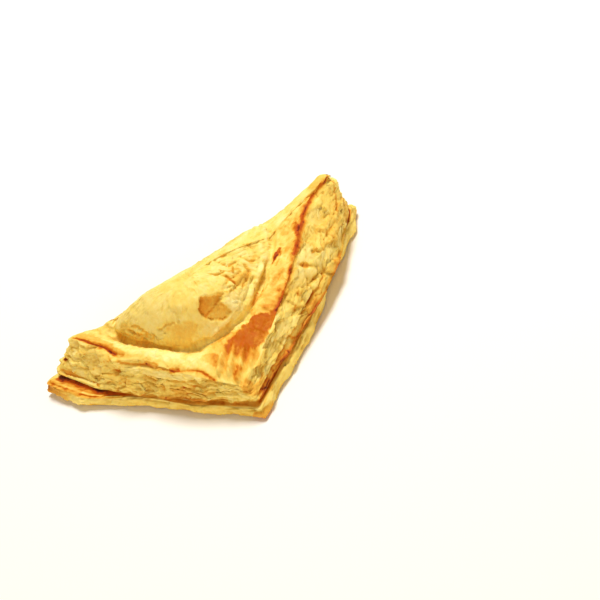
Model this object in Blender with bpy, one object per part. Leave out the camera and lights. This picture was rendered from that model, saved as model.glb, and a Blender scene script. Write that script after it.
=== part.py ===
"""A triangular puff-pastry turnover, lying on its flat underside.

A square sheet of layered dough is folded corner to corner over a filling and baked. Its two flaps meet
along the cut edges, which puff up into layered walls with a browned seam between them, while the fold at
the back stays a smooth rounded nose. A raised roll runs inside the rim, then a crease, then the dome over
the filling. The solid is lofted through closed rings from the underside up to the top of the dome.

The left corner L and the right corner T are the ends of the fold, and C is the square corner at the front.
A place on the outline runs from 0 at L to 1 at C, 2 at T and back to 3 at L. Lengths are in millimetres.
"""

import bpy
import numpy as np

MM = 0.001

# Counts along each cut edge, along the fold, and of the rings in each zone of the loft
CUT_STEPS = 56
FOLD_STEPS = 30
UNDERSIDE_RINGS = 3
ROLL_RINGS = 6
DOME_RINGS = 11
OUTLINE_POINTS = 400

# Corners of each outline in plan: lower flap, foot of the upper flap, rim of the upper flap
LEG = 100.0
FOLD_LENGTH = LEG * np.sqrt(2)
CORNER_L = np.array([-FOLD_LENGTH / 2, FOLD_LENGTH / 4])
CORNER_C = np.array([0.0, -FOLD_LENGTH / 4])
CORNER_T = np.array([FOLD_LENGTH / 2, FOLD_LENGTH / 4])
INRADIUS = (2 * LEG - FOLD_LENGTH) / 2
MIDDLE = np.array([0.0, FOLD_LENGTH / 4 - INRADIUS])
LOWER_CORNERS = (CORNER_L + (-0.6, 0.0), CORNER_C + (-0.4, -1.4), CORNER_T + (0.4, 0.8))
FOOT_CORNERS = (CORNER_L + (7.6, -0.2), CORNER_C + (0.4, 2.2), CORNER_T + (-3.0, 2.4))
RIM_CORNERS = (CORNER_L + (19.0, -1.0), CORNER_C + (-1.0, 6.0), CORNER_T + (-2.8, 0.2))

# How far each edge stands outside the straight line between its corners, at shares of its length
LOWER_FRONT = ((0, 0.5), (0.1, 2.4), (0.2, 4.2), (0.33, 2.8), (0.45, 1.2), (0.7, 1.4), (0.87, 0.5), (1, 0.2))
LOWER_RIGHT = ((0, 0.4), (0.2, 2.0), (0.33, 3.6), (0.45, 4.8), (0.6, 2.8), (0.8, 2.4), (0.92, 2.4), (1, 0.5))
FOOT_FRONT = ((0, 0.8), (0.2, 4.2), (0.35, 4.8), (0.6, 4.0), (0.85, 2.0), (1, 0.3))
FOOT_RIGHT = ((0, 0.2), (0.15, 2.4), (0.3, 5.4), (0.45, 8.0), (0.58, 9.4), (0.8, 7.6), (0.93, 4.4), (1, 1.8))
RIM_FRONT = ((0, 0.0), (0.12, 0.6), (0.24, 1.2), (0.3, 3.6), (0.45, 2.2), (0.65, 3.2), (0.85, 2.0), (1, 0.2))
RIM_RIGHT = ((0, 0.2), (0.2, 2.3), (0.4, 2.4), (0.55, 1.2), (0.72, -2.2), (0.88, -3.2), (0.97, -1.0), (1, 1))
FOLD_BACK = ((0, 1.0), (0.05, 2.4), (0.15, 2.2), (0.35, 1.6), (0.6, 2.0), (0.85, 1.4), (1, 0.4))
CORNER_ROUNDING = 2.6
NOSE_ROUNDING = 2.6

# Heights at places round the outline, and where the roll's crest lies between rim and crease
RIM_HEIGHT = ((0, 20.6), (0.15, 20.5), (0.5, 20.0), (0.72, 18.0), (0.87, 15.5), (1, 13.5), (1.15, 16.5),
              (1.33, 20.0), (1.45, 22.0), (1.6, 24.0), (1.8, 25.5), (2, 25.2), (2.06, 24.6), (2.12, 23.2),
              (2.25, 20.0), (2.4, 17.0), (2.6, 16.5), (2.75, 16.3), (2.88, 18.4), (3, 20.6))
CREASE_HEIGHT = ((0, 17.5), (0.5, 16.5), (1, 17.0), (1.5, 20.5), (2, 23.0), (2.25, 23.0), (2.5, 20.2),
                 (2.75, 19.0), (3, 17.5))
ROLL_HEIGHT = ((0, 1.2), (0.4, 2.4), (0.8, 2.8), (1, 4.0), (1.2, 2.8), (1.6, 1.6), (2, 0.8), (2.2, 0.6),
               (2.5, 0.8), (2.8, 0.8), (3, 1.2))
ROLL_CREST = ((0, 0.5), (0.8, 0.5), (1.2, 0.6), (1.6, 0.78), (2, 0.6), (2.5, 0.5), (3, 0.5))
FOOT_HEIGHT = ((0, 8.4), (0.12, 7.6), (0.3, 6.6), (0.5, 6.4), (0.8, 6.5), (1, 6.8), (1.5, 7.2), (2, 7.6),
               (2.5, 7.6), (3, 8.4))
LOWER_BULGE = 2.2
MOUTH_HEIGHT = 1.8
SEAM_DROP = 0.8
SEAM_DEPTH = 5.5
UNDERSIDE_INSET = 4.5
EDGE_ROUNDING = 0.6
CORNER_INSET_LIMIT = 1.6

# How full the wall is between its foot and its rim: 1 leans straight, more stays out and then turns over
WALL_FULLNESS = ((0, 1.5), (0.3, 1.3), (1, 1.2), (1.5, 1.3), (1.85, 2.2), (2, 3.4), (2.2, 2.0), (3, 1.5))

# The dome over the filling: its top, and how far its crease lies from that in named directions (degrees)
DOME_TOP = np.array([1.0, 11.0])
DOME_HEIGHT = 36.5
DOME_REACH = {225.0: 19.0, 270.0: 15.6, 315.0: 20.0, 0.0: 34.5, 180.0: 38.0, 90.0: 22.4}
DOME_CORNER_POWER = 7.0
DOME_ROUNDNESS = 0.75
DOME_STEEPNESS = ((0, 3.2), (0.5, 2.9), (1, 2.5), (1.5, 2.0), (2, 2.0), (2.3, 1.6), (2.6, 1.7), (2.85, 2.4),
                  (3, 3.2))

# Relief: layers in the walls, lumps in the dome, pleats gathered towards the corner C
LAYERS = 5
LAYER_DEPTH = 1.3
LAYER_UNEVENNESS = 0.5
LAYER_WAVE = 0.9
GROOVE_PLACE = 0.72
LUMP_HEIGHT = 0.8
LUMP_LENGTHS = (34.0, 15.0)
PLEATS = 3
PLEAT_SPREAD = 0.42
PLEAT_REACH = (15.0, 24.0, 38.0)
PLEAT_HEIGHT = 1.0
DENT_PLACE = np.array([5.0, 2.5])
DENT_WIDTH = 5.5
DENT_DEPTH = 1.8

# Pinched ridges and wrinkles of the skin on top: height, half-width, and a path in plan
SKIN_FOLDS = (
    (1.0, 1.8, ((0.5, -9.0), (11.2, -3.4), (15.5, -1.2), (22.7, 6.0), (29.0, 13.8), (33.1, 26.0))),
    (0.8, 1.6, ((4.5, -3.2), (9.2, -0.9), (13.8, 1.4), (18.6, 6.4))),
    (-0.7, 1.5, ((13.4, 13.3), (15.5, 11.0), (19.8, 12.4))),
    (-0.7, 1.5, ((11.5, 8.2), (14.4, 5.8), (18.8, 8.4))),
    (-0.6, 1.5, ((21.0, 16.0), (23.6, 12.6), (25.6, 13.0))),
    (-0.5, 1.6, ((-27.5, 18.0), (-24.6, 12.5), (-21.5, 8.5))),
)

CRUST_COLOUR = (0.86, 0.60, 0.16, 1.0)
CRUST_ROUGHNESS = 0.55


def smooth_through(stops, where):
    """A smooth curve through (place, size) stops: cubic pieces whose slopes come from the neighbours."""
    places, sizes = np.array(stops, float).T
    slopes = np.gradient(sizes, places)
    piece = np.clip(np.searchsorted(places, where) - 1, 0, len(places) - 2)
    width = places[piece + 1] - places[piece]
    s = (where - places[piece]) / width
    start = (2 * s**3 - 3 * s**2 + 1) * sizes[piece] + (s**3 - 2 * s**2 + s) * width * slopes[piece]
    end = (3 * s**2 - 2 * s**3) * sizes[piece + 1] + (s**3 - s**2) * width * slopes[piece + 1]
    return start + end


def smoothstep(value, low, high):
    """0 below low, 1 above high, and an easy S between them."""
    s = np.clip((value - low) / (high - low), 0, 1)
    return s * s * (3 - 2 * s)


def places_round():
    """The places of the loft's columns: closer together along the cut edges than along the fold."""
    cut = np.arange(CUT_STEPS) / CUT_STEPS
    fold = np.arange(FOLD_STEPS) / FOLD_STEPS
    return np.concatenate([cut, 1 + cut, 2 + fold])


def outline(corners, edges, place):
    """A closed plan curve: three straight edges pushed outwards by their stops, with the corners rounded
    by a running average, read at each place."""
    share = np.arange(OUTLINE_POINTS) / OUTLINE_POINTS
    sides = []
    for number, stops in enumerate(edges):
        start, end = corners[number], corners[(number + 1) % 3]
        run = (end - start) / np.linalg.norm(end - start)
        outwards = np.array([run[1], -run[0]])
        straight = start + np.outer(share, end - start)
        sides.append(straight + np.outer(smooth_through(stops, share), outwards))
    path = np.concatenate(sides)
    reach = int(CORNER_ROUNDING / LEG * OUTLINE_POINTS)
    weights = np.hanning(2 * reach + 3)[1:-1]
    weights /= weights.sum()
    shifts = range(-reach, reach + 1)
    path = sum(w * np.roll(path, shift, axis=0) for w, shift in zip(weights, shifts))
    closed = np.vstack([path, path[:1]])
    steps = np.arange(len(closed)) / OUTLINE_POINTS
    return np.column_stack([np.interp(place, steps, closed[:, axis]) for axis in (0, 1)])


def inset(plan, depth):
    """A plan curve drawn inwards by a depth, and by a limited multiple of it at the far corners."""
    inwards = MIDDLE - plan
    distance = np.linalg.norm(inwards, axis=1)
    multiple = np.minimum(distance / INRADIUS, CORNER_INSET_LIMIT)
    return plan + inwards * (depth * multiple / distance)[:, None]


def ring(plan, height):
    """A plan curve at a height, which may change along it."""
    return np.column_stack([plan, np.broadcast_to(height, len(plan))])


def crease_curve(rim):
    """The foot of the dome: from its top towards each rim point, as far as the nearest of its named
    directions allows, with the corners between them rounded."""
    away = rim - DOME_TOP
    angle = np.arctan2(away[:, 1], away[:, 0])
    pull = sum(
        np.clip(np.cos(angle - np.radians(direction)) / reach, 0, None) ** DOME_CORNER_POWER
        for direction, reach in DOME_REACH.items()
    )
    reach = pull ** (-1 / DOME_CORNER_POWER)
    return DOME_TOP + np.column_stack([np.cos(angle), np.sin(angle)]) * reach[:, None]


def lumps(plan):
    """Slow uneven swelling: a few waves in seeded directions, two lengths of them."""
    rng = np.random.default_rng(7)
    total = 0.0
    for length in LUMP_LENGTHS:
        for turn in rng.uniform(0, np.pi, 4):
            across = plan @ np.array([np.cos(turn), np.sin(turn)])
            total = total + np.cos(2 * np.pi * across / length + rng.uniform(0, 2 * np.pi)) / 4
    return total * LUMP_HEIGHT / len(LUMP_LENGTHS)


def wander(place, seed, slowest, fastest):
    """A smooth uneven curve between about -1 and 1 that closes on itself after the whole outline."""
    rng = np.random.default_rng(seed)
    waves = range(slowest, fastest + 1)
    total = sum(np.cos(2 * np.pi * (turns * place / 3 + rng.uniform())) for turns in waves)
    return total / np.sqrt(len(waves))


def pleats(plan):
    """Small ridges that run from the corner C up to the dome, strongest halfway."""
    away = plan - DOME_TOP
    turn = np.arctan2(away[:, 0], -away[:, 1])
    distance = np.linalg.norm(away, axis=1)
    near, full, far = PLEAT_REACH
    window = smoothstep(-np.abs(turn), -PLEAT_SPREAD, -0.4 * PLEAT_SPREAD)
    window = window * smoothstep(distance, near, full) * smoothstep(-distance, -far, -full)
    return PLEAT_HEIGHT * window * np.cos(PLEATS * np.pi * turn / PLEAT_SPREAD)


def dent(plan):
    """A shallow hollow where the top skin has sunk on the dome's front."""
    distance = np.linalg.norm(plan - DENT_PLACE, axis=1)
    return -DENT_DEPTH * np.exp(-((distance / DENT_WIDTH) ** 2))


def skin_folds(plan):
    """Ridges and wrinkles: each height times exp of minus the squared distance to its path in widths."""
    total = np.zeros(len(plan))
    for height, width, path in SKIN_FOLDS:
        path = np.array(path)
        nearest = np.full(len(plan), np.inf)
        for start, end in zip(path[:-1], path[1:]):
            step = end - start
            share = np.clip((plan - start) @ step / (step @ step), 0, 1)
            gap = np.linalg.norm(plan - start - share[:, None] * step, axis=1)
            nearest = np.minimum(nearest, gap)
        total = total + height * np.exp(-((nearest / width) ** 2))
    return total


def lower_flap_rings(place, lower, foot, foot_height, cut):
    """The flat underside, the rounded edge of the lower flap, and its top back to the seam."""
    rings = []
    bottom = inset(lower, UNDERSIDE_INSET)
    for number in range(1, UNDERSIDE_RINGS + 1):
        share = number / UNDERSIDE_RINGS
        rings.append(ring(MIDDLE + (bottom - MIDDLE) * share, 0.0))
    wave = 0.25 * wander(place, 3, 12, 24)
    nose = NOSE_ROUNDING * (1 - cut)
    rings.append(ring(inset(lower, EDGE_ROUNDING + 0.5 * nose), 0.5))
    rings.append(ring(inset(lower, 0.2 * nose), LOWER_BULGE + wave))
    rings.append(ring(inset(lower, EDGE_ROUNDING * cut), foot_height - MOUTH_HEIGHT + wave))
    rings.append(ring(inset(foot, SEAM_DEPTH * cut), foot_height - SEAM_DROP))
    return rings


def wall_rings(place, foot, rim, foot_height, rim_height, cut):
    """The puffed wall of the upper flap from its foot to its rim: each layer of dough is a ridge ring and
    a groove ring, uneven in depth, and all of them wave up and down together."""
    rings = []
    rise = rim_height - foot_height
    fullness = smooth_through(WALL_FULLNESS, place)
    for layer in range(LAYERS):
        depth = LAYER_DEPTH * (1 + LAYER_UNEVENNESS * wander(place, 20 + layer, 8, 22))
        for share, out in ((layer / LAYERS, 0.4 * depth), ((layer + GROOVE_PLACE) / LAYERS, -0.6 * depth)):
            plan = foot + (rim - foot) * (share**fullness)[:, None]
            nose = NOSE_ROUNDING * (1 - cut) * (1 - np.sqrt(1 - share**2))
            wave = LAYER_WAVE * np.sin(np.pi * share) * cut * wander(place, 5, 4, 12)
            rings.append(ring(inset(plan, nose - out * cut), foot_height + rise * share + wave))
    return rings


def roll_rings(place, rim, crease, rim_height, crease_height, cut):
    """The raised roll inside the rim, down to the crease round the dome."""
    rings = []
    bend = np.log(0.5) / np.log(smooth_through(ROLL_CREST, place))
    roll_height = smooth_through(ROLL_HEIGHT, place)
    rim = inset(rim, NOSE_ROUNDING * (1 - cut))
    for number in range(ROLL_RINGS + 1):
        share = number / ROLL_RINGS
        plan = rim + (crease - rim) * share
        height = rim_height + (crease_height - rim_height) * share + roll_height * np.sin(np.pi * share**bend)
        folds = pleats(plan) * np.sin(np.pi * share) + skin_folds(plan) * smoothstep(share, 0.1, 0.5)
        rings.append(ring(plan, height + folds))
    return rings


def dome_rings(place, crease, crease_height):
    """The dome over the filling: its rings grow rounder towards the top, and it is gentler at the fold."""
    rings = []
    steepness = smooth_through(DOME_STEEPNESS, place)
    away = crease - DOME_TOP
    reach = np.linalg.norm(away, axis=1)
    for number in range(1, DOME_RINGS):
        share = 1 - (1 - number / DOME_RINGS) ** 1.15
        rounder = (np.exp(np.log(reach).mean()) / reach) ** (DOME_ROUNDNESS * share)
        plan = DOME_TOP + away * ((1 - share) * rounder)[:, None]
        height = crease_height + (DOME_HEIGHT - crease_height) * (1 - (1 - share) ** steepness)
        swelling = (lumps(plan) + dent(plan)) * np.sin(np.pi * share / 2)
        rings.append(ring(plan, height + swelling + skin_folds(plan)))
    return rings


def turnover_rings():
    """Every ring of the loft from the underside's middle to the dome's top, and those two end points."""
    place = places_round()
    fold_share = np.clip(place - 2, 0, 1)
    cut = 1 - smoothstep(fold_share, 0.0, 0.1) * smoothstep(1 - fold_share, 0.0, 0.1)
    lower = outline(LOWER_CORNERS, (LOWER_FRONT, LOWER_RIGHT, FOLD_BACK), place)
    foot = outline(FOOT_CORNERS, (FOOT_FRONT, FOOT_RIGHT, FOLD_BACK), place)
    rim = outline(RIM_CORNERS, (RIM_FRONT, RIM_RIGHT, FOLD_BACK), place)
    rim_height = smooth_through(RIM_HEIGHT, place)
    crease_height = smooth_through(CREASE_HEIGHT, place)
    crease = crease_curve(rim)
    foot_height = smooth_through(FOOT_HEIGHT, place)
    rings = lower_flap_rings(place, lower, foot, foot_height, cut)
    rings += wall_rings(place, foot, rim, foot_height, rim_height, cut)
    rings += roll_rings(place, rim, crease, rim_height, crease_height, cut)
    rings += dome_rings(place, crease, crease_height)
    top = np.array([*DOME_TOP, DOME_HEIGHT + lumps(DOME_TOP[None])[0] + dent(DOME_TOP[None])[0]])
    return np.array(rings), np.array([*MIDDLE, 0.0]), top


def centred(points):
    """The points moved so that their box stands on z = 0 with its middle over the origin."""
    low, high = points.min(axis=0), points.max(axis=0)
    return points - np.array([*(low + high)[:2] / 2, low[2]])


def loft_faces(ring_count, column_count):
    """Quads between neighbouring rings, and a fan of triangles to each end point."""
    faces = []
    for row in range(ring_count - 1):
        for column in range(column_count):
            after = (column + 1) % column_count
            low, high = row * column_count, (row + 1) * column_count
            faces.append((low + column, low + after, high + after, high + column))
    first, last = ring_count * column_count, ring_count * column_count + 1
    top_row = (ring_count - 1) * column_count
    for column in range(column_count):
        after = (column + 1) % column_count
        faces.append((first, after, column))
        faces.append((last, top_row + column, top_row + after))
    return faces


def crust_material():
    """Baked puff pastry: matt golden crust."""
    material = bpy.data.materials.new("baked_crust")
    material.use_nodes = True
    shader = material.node_tree.nodes["Principled BSDF"]
    shader.inputs["Base Color"].default_value = CRUST_COLOUR
    shader.inputs["Roughness"].default_value = CRUST_ROUGHNESS
    shader.inputs["Metallic"].default_value = 0.0
    return material


def make_turnover():
    """The whole pastry as one closed solid."""
    rings, first, last = turnover_rings()
    ring_count, column_count = rings.shape[:2]
    points = centred(np.vstack([rings.reshape(-1, 3), first, last])) * MM
    mesh = bpy.data.meshes.new("turnover")
    mesh.from_pydata(points.tolist(), [], loft_faces(ring_count, column_count))
    mesh.materials.append(crust_material())
    mesh.shade_smooth()
    turnover = bpy.data.objects.new("turnover", mesh)
    bpy.context.scene.collection.objects.link(turnover)
    return turnover


def main():
    for obj in list(bpy.data.objects):
        bpy.data.objects.remove(obj)
    make_turnover()


main()
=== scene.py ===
# %% [markdown]
# # A baked puff-pastry turnover
# This lesson dresses one triangular pastry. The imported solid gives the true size, and everything that shows
# is made here as surfaces worked out with numpy: the crust with its layered walls, and thin loose flakes on
# the walls and the dome. All shape values are in millimetres until the mesh is written.

import itertools

import bpy
import numpy as np
from mathutils import Matrix


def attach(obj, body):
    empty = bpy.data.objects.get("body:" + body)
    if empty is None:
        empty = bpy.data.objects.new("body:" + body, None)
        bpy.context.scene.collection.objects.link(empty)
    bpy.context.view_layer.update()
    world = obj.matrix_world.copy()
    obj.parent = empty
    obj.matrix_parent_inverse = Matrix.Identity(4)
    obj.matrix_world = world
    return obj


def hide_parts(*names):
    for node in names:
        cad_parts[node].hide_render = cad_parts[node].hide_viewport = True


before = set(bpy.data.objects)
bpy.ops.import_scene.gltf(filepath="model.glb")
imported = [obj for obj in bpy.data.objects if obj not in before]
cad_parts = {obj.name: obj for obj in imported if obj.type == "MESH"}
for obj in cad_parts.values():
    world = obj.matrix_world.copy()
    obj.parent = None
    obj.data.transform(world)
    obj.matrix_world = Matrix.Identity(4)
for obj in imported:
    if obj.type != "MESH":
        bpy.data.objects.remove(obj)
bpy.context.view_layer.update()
MM = 0.001

# %% [markdown]
# ## The plan of the pastry
# A square of dough is folded corner to corner, so its outline is a right-angled triangle. L and T are the
# ends of the fold and C is the square corner. A place on the outline runs from 0 at L to 1 at C, 2 at T and
# back to 3 at L. The lower flap, the foot of the upper flap and its rim each have their own outline, because
# the two flaps never bake to the same size. These values repeat those of the solid, but for a seam 0.2 mm
# narrower.

# %% Outlines and heights, as in the solid
LEG = 100.0
FOLD_LENGTH = LEG * np.sqrt(2)
CORNER_L = np.array([-FOLD_LENGTH / 2, FOLD_LENGTH / 4])
CORNER_C = np.array([0.0, -FOLD_LENGTH / 4])
CORNER_T = np.array([FOLD_LENGTH / 2, FOLD_LENGTH / 4])
INRADIUS = (2 * LEG - FOLD_LENGTH) / 2
MIDDLE = np.array([0.0, FOLD_LENGTH / 4 - INRADIUS])
OUTLINE_POINTS = 400
LOWER_CORNERS = (CORNER_L + (-0.6, 0.0), CORNER_C + (-0.4, -1.4), CORNER_T + (0.4, 0.8))
FOOT_CORNERS = (CORNER_L + (7.6, -0.2), CORNER_C + (0.4, 2.2), CORNER_T + (-3.0, 2.4))
RIM_CORNERS = (CORNER_L + (19.0, -1.0), CORNER_C + (-1.0, 6.0), CORNER_T + (-2.8, 0.2))

# How far each edge stands outside the straight line between its corners, at shares of its length
LOWER_FRONT = ((0, 0.5), (0.1, 2.4), (0.2, 4.2), (0.33, 2.8), (0.45, 1.2), (0.7, 1.4), (0.87, 0.5), (1, 0.2))
LOWER_RIGHT = ((0, 0.4), (0.2, 2), (0.33, 3.6), (0.45, 4.8), (0.6, 2.8), (0.8, 2.4), (0.92, 2.4), (1, 0.5))
FOOT_FRONT = ((0, 0.8), (0.2, 4.2), (0.35, 4.8), (0.6, 4), (0.85, 2), (1, 0.3))
FOOT_RIGHT = ((0, 0.2), (0.15, 2.4), (0.3, 5.4), (0.45, 8), (0.58, 9.4), (0.8, 7.6), (0.93, 4.4), (1, 1.8))
RIM_FRONT = ((0, 0), (0.12, 0.6), (0.24, 1.2), (0.3, 3.6), (0.45, 2.2), (0.65, 3.2), (0.85, 2), (1, 0.2))
RIM_RIGHT = ((0, 0.2), (0.2, 2.3), (0.4, 2.4), (0.55, 1.2), (0.72, -2.2), (0.88, -3.2), (0.97, -1), (1, 1))
FOLD_BACK = ((0, 1), (0.05, 2.4), (0.15, 2.2), (0.35, 1.6), (0.6, 2), (0.85, 1.4), (1, 0.4))
CORNER_ROUNDING = 2.6
NOSE_ROUNDING = 2.6

# Heights at places round the outline, and where the roll's crest lies between rim and crease
RIM_HEIGHT = ((0, 20.6), (0.15, 20.5), (0.5, 20), (0.72, 18), (0.87, 15.5), (1, 13.5), (1.15, 16.5),
    (1.33, 20), (1.45, 22), (1.6, 24), (1.8, 25.5), (2, 25.2), (2.06, 24.6), (2.12, 23.2), (2.25, 20),
    (2.4, 17), (2.6, 16.5), (2.75, 16.3), (2.88, 18.4), (3, 20.6))
CREASE_HEIGHT = ((0, 17.5), (0.5, 16.5), (1, 17), (1.5, 20.5), (2, 23), (2.25, 23), (2.5, 20.2), (2.75, 19),
    (3, 17.5))
ROLL_HEIGHT = ((0, 1.2), (0.4, 2.4), (0.8, 2.8), (1, 4), (1.2, 2.8), (1.6, 1.6), (2, 0.8), (2.2, 0.6),
    (2.5, 0.8), (2.8, 0.8), (3, 1.2))
ROLL_CREST = ((0, 0.5), (0.8, 0.5), (1.2, 0.6), (1.6, 0.78), (2, 0.6), (2.5, 0.5), (3, 0.5))
FOOT_HEIGHT = ((0, 8.4), (0.12, 7.6), (0.3, 6.6), (0.5, 6.4), (0.8, 6.5), (1, 6.8), (1.5, 7.2), (2, 7.6),
    (2.5, 7.6), (3, 8.4))
MOUTH_HEIGHT = 1.6
SEAM_DROP = 0.8
SEAM_DEPTH = 5.5
UNDERSIDE_INSET = 4.5
CORNER_INSET_LIMIT = 1.6

# How full the wall is between its foot and its rim: 1 leans straight, more stays out and then turns over
WALL_FULLNESS = ((0, 1), (0.3, 1.2), (1, 1.2), (1.5, 1.3), (1.85, 2.2), (2, 3.4), (2.2, 2), (3, 1))

# The dome over the filling: its top, and how far its crease lies from that in named directions (degrees)
DOME_TOP = np.array([1.0, 11.0])
DOME_HEIGHT = 36.5
DOME_REACH = {225.0: 19.0, 270.0: 15.6, 315.0: 20.0, 0.0: 34.5, 180.0: 38.0, 90.0: 22.4}
DOME_CORNER_POWER = 7.0
DOME_ROUNDNESS = 0.75
DOME_STEEPNESS = ((0, 3.2), (0.5, 2.9), (1, 2.5), (1.5, 2), (2, 2), (2.3, 1.6), (2.6, 1.7), (2.85, 2.4),
    (3, 3.2))

print("cut sides in mm:", LEG, "and fold:", FOLD_LENGTH.round(1))

# %% [markdown]
# ## Curves from a few stops
# A named size at a few places is enough to describe how an edge bulges or how high a rim stands. Cubic pieces
# through those stops give a smooth curve, and three such edges with softened corners give an outline.

# %% Smooth curves and outlines
def smooth_through(stops, where):
    """A smooth curve through (place, size) stops: cubic pieces whose slopes come from the neighbours."""
    places, sizes = np.array(stops, float).T
    slopes = np.gradient(sizes, places)
    piece = np.clip(np.searchsorted(places, where) - 1, 0, len(places) - 2)
    width = places[piece + 1] - places[piece]
    s = (where - places[piece]) / width
    start = (2 * s**3 - 3 * s**2 + 1) * sizes[piece] + (s**3 - 2 * s**2 + s) * width * slopes[piece]
    end = (3 * s**2 - 2 * s**3) * sizes[piece + 1] + (s**3 - s**2) * width * slopes[piece + 1]
    return start + end


def smoothstep(value, low, high):
    """0 below low, 1 above high, and an easy S between them."""
    s = np.clip((value - low) / (high - low), 0, 1)
    return s * s * (3 - 2 * s)


def falling(value, low, high):
    """1 below low, 0 above high, and an easy S between them."""
    return smoothstep(-value, -high, -low)


def hump(value, middle, width):
    """A rounded bump, 1 at its middle: exp of minus the squared distance from there in widths."""
    return np.exp(-(((value - middle) / width) ** 2))


def outline(corners, edges, place):
    """A closed plan curve: three straight edges pushed outwards by their stops, with the corners rounded
    by a running average, read at each place."""
    share = np.arange(OUTLINE_POINTS) / OUTLINE_POINTS
    sides = []
    for number, stops in enumerate(edges):
        start, end = corners[number], corners[(number + 1) % 3]
        run = (end - start) / np.linalg.norm(end - start)
        outwards = np.array([run[1], -run[0]])
        straight = start + np.outer(share, end - start)
        sides.append(straight + np.outer(smooth_through(stops, share), outwards))
    path = np.concatenate(sides)
    reach = int(CORNER_ROUNDING / LEG * OUTLINE_POINTS)
    weights = np.hanning(2 * reach + 3)[1:-1]
    weights /= weights.sum()
    shifts = range(-reach, reach + 1)
    path = sum(w * np.roll(path, shift, axis=0) for w, shift in zip(weights, shifts))
    closed = np.vstack([path, path[:1]])
    steps = np.arange(len(closed)) / OUTLINE_POINTS
    return np.column_stack([np.interp(place, steps, closed[:, axis]) for axis in (0, 1)])


def crease_curve(rim):
    """The foot of the dome: from its top towards each rim point, as far as the nearest of its named
    directions allows, with the corners between them rounded."""
    away = rim - DOME_TOP
    angle = np.arctan2(away[:, 1], away[:, 0])
    pull = sum(
        np.clip(np.cos(angle - np.radians(direction)) / reach, 0, None) ** DOME_CORNER_POWER
        for direction, reach in DOME_REACH.items()
    )
    reach = pull ** (-1 / DOME_CORNER_POWER)
    return DOME_TOP + np.column_stack([np.cos(angle), np.sin(angle)]) * reach[:, None]


print("crease outline in mm:", crease_curve(outline(RIM_CORNERS, (RIM_FRONT, RIM_RIGHT, FOLD_BACK),
                                                    np.linspace(0, 2.99, 7))).round(1).tolist())

# %% [markdown]
# ## Noise without a texture
# Crumbling dough is uneven at every size. Gradient noise gives that: each corner of a grid of cubes holds a
# random slope, and the slopes are blended in between. It is worked out here for whole arrays of points, so
# the same function can push vertices about and colour them, and a fixed seed makes each run the same.

# %% Gradient noise on arrays
NOISE_GAIN = 1.7
SEED_STEP = np.array([17.3, 9.1, 5.7])
RANDOM = np.random.default_rng(41)
SHUFFLE = RANDOM.permutation(256)
SLOPES = RANDOM.normal(size=(256, 3))
SLOPES /= np.linalg.norm(SLOPES, axis=1, keepdims=True)


def noise(points, size, seed=0):
    """Smooth noise, about -1 to 1, whose bumps are size across: the dot product of each cube corner's
    random slope with the way to the point, blended by 6t^5 - 15t^4 + 10t^3 along each axis."""
    spot = points / size + seed * SEED_STEP
    cell = np.floor(spot).astype(int)
    part = spot - cell
    blend = part**3 * (part * (part * 6 - 15) + 10)
    blended = 0.0
    for corner in itertools.product((0, 1), repeat=3):
        key = (cell + corner) & 255
        turn = SHUFFLE[(SHUFFLE[(SHUFFLE[key[..., 0]] + key[..., 1]) & 255] + key[..., 2]) & 255]
        weight = np.prod(np.where(corner, blend, 1 - blend), axis=-1)
        blended = blended + weight * np.sum(SLOPES[turn] * (part - corner), axis=-1)
    return blended * NOISE_GAIN


def rough(points, size, small, seed, share=0.5):
    """Noise of one size, and a share of noise of a smaller size on it."""
    return noise(points, size, seed) + share * noise(points, small, seed + 1)


def stack(*parts):
    """Arrays or numbers of any matching shapes, put side by side as the last axis."""
    return np.stack(np.broadcast_arrays(*parts), axis=-1)


# %% [markdown]
# ## The crust as one closed surface
# The pastry is one piece, so it is lofted as one surface. The first parameter runs round the outline, and the
# second runs from the middle of the underside outwards, over the lower flap's edge, into the seam, up the
# layered wall, over the roll inside the rim, down to the crease and up the dome. Each stretch of the second
# parameter is a zone with a formula of its own, and the grid is closer where the layers are fine.

# %% The grid: places round the outline, and zones with their rows
CUT_STEPS = 220
FOLD_STEPS = 170
ZONE_ROWS = {"underside": 8, "edge": 14, "seam_floor": 13, "seam_roof": 4, "wall": 48, "roll": 26, "dome": 50}
EDGE_INSET = ((0, 4.5), (0.25, 0.9), (0.4, 0.15), (0.55, 0), (0.8, 0.3), (1, 1.2))
EDGE_HEIGHT = ((0, 0), (0.25, 0.04), (0.4, 0.19), (0.55, 0.39), (0.8, 0.81), (1, 1))
NOSE_INSET = ((0, 4.5), (0.25, 2.2), (0.4, 1.2), (0.55, 0.6), (0.8, 0.15), (1, 0))

cut_places = np.arange(CUT_STEPS) / CUT_STEPS
place = np.concatenate([cut_places, 1 + cut_places, 2 + np.arange(FOLD_STEPS) / FOLD_STEPS])
columns = len(place)
FLOOR_CROWDING, TOP_CROWDING = 1.4, 1.3  # Powers that crowd the rows where the relief is fine


def zone_shares(zone):
    """The row parameter of one zone, from 0 towards 1, as a column of numbers."""
    rows = ZONE_ROWS[zone]
    return (np.arange(rows) / rows)[:, None]


def cutness(place):
    """1 along the cut edges, 0 along the fold, with a short easy change at both ends of the fold."""
    fold_share = np.clip(place - 2, 0, 1)
    return 1 - smoothstep(fold_share, 0.0, 0.1) * smoothstep(1 - fold_share, 0.0, 0.1)


def lerp(start, end, share):
    """The point that lies a share of the way from start to end."""
    return start + (end - start) * share


def raised(plan, height):
    """Plan points with their heights as the third coordinate."""
    return stack(plan[..., 0], plan[..., 1], height)


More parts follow.
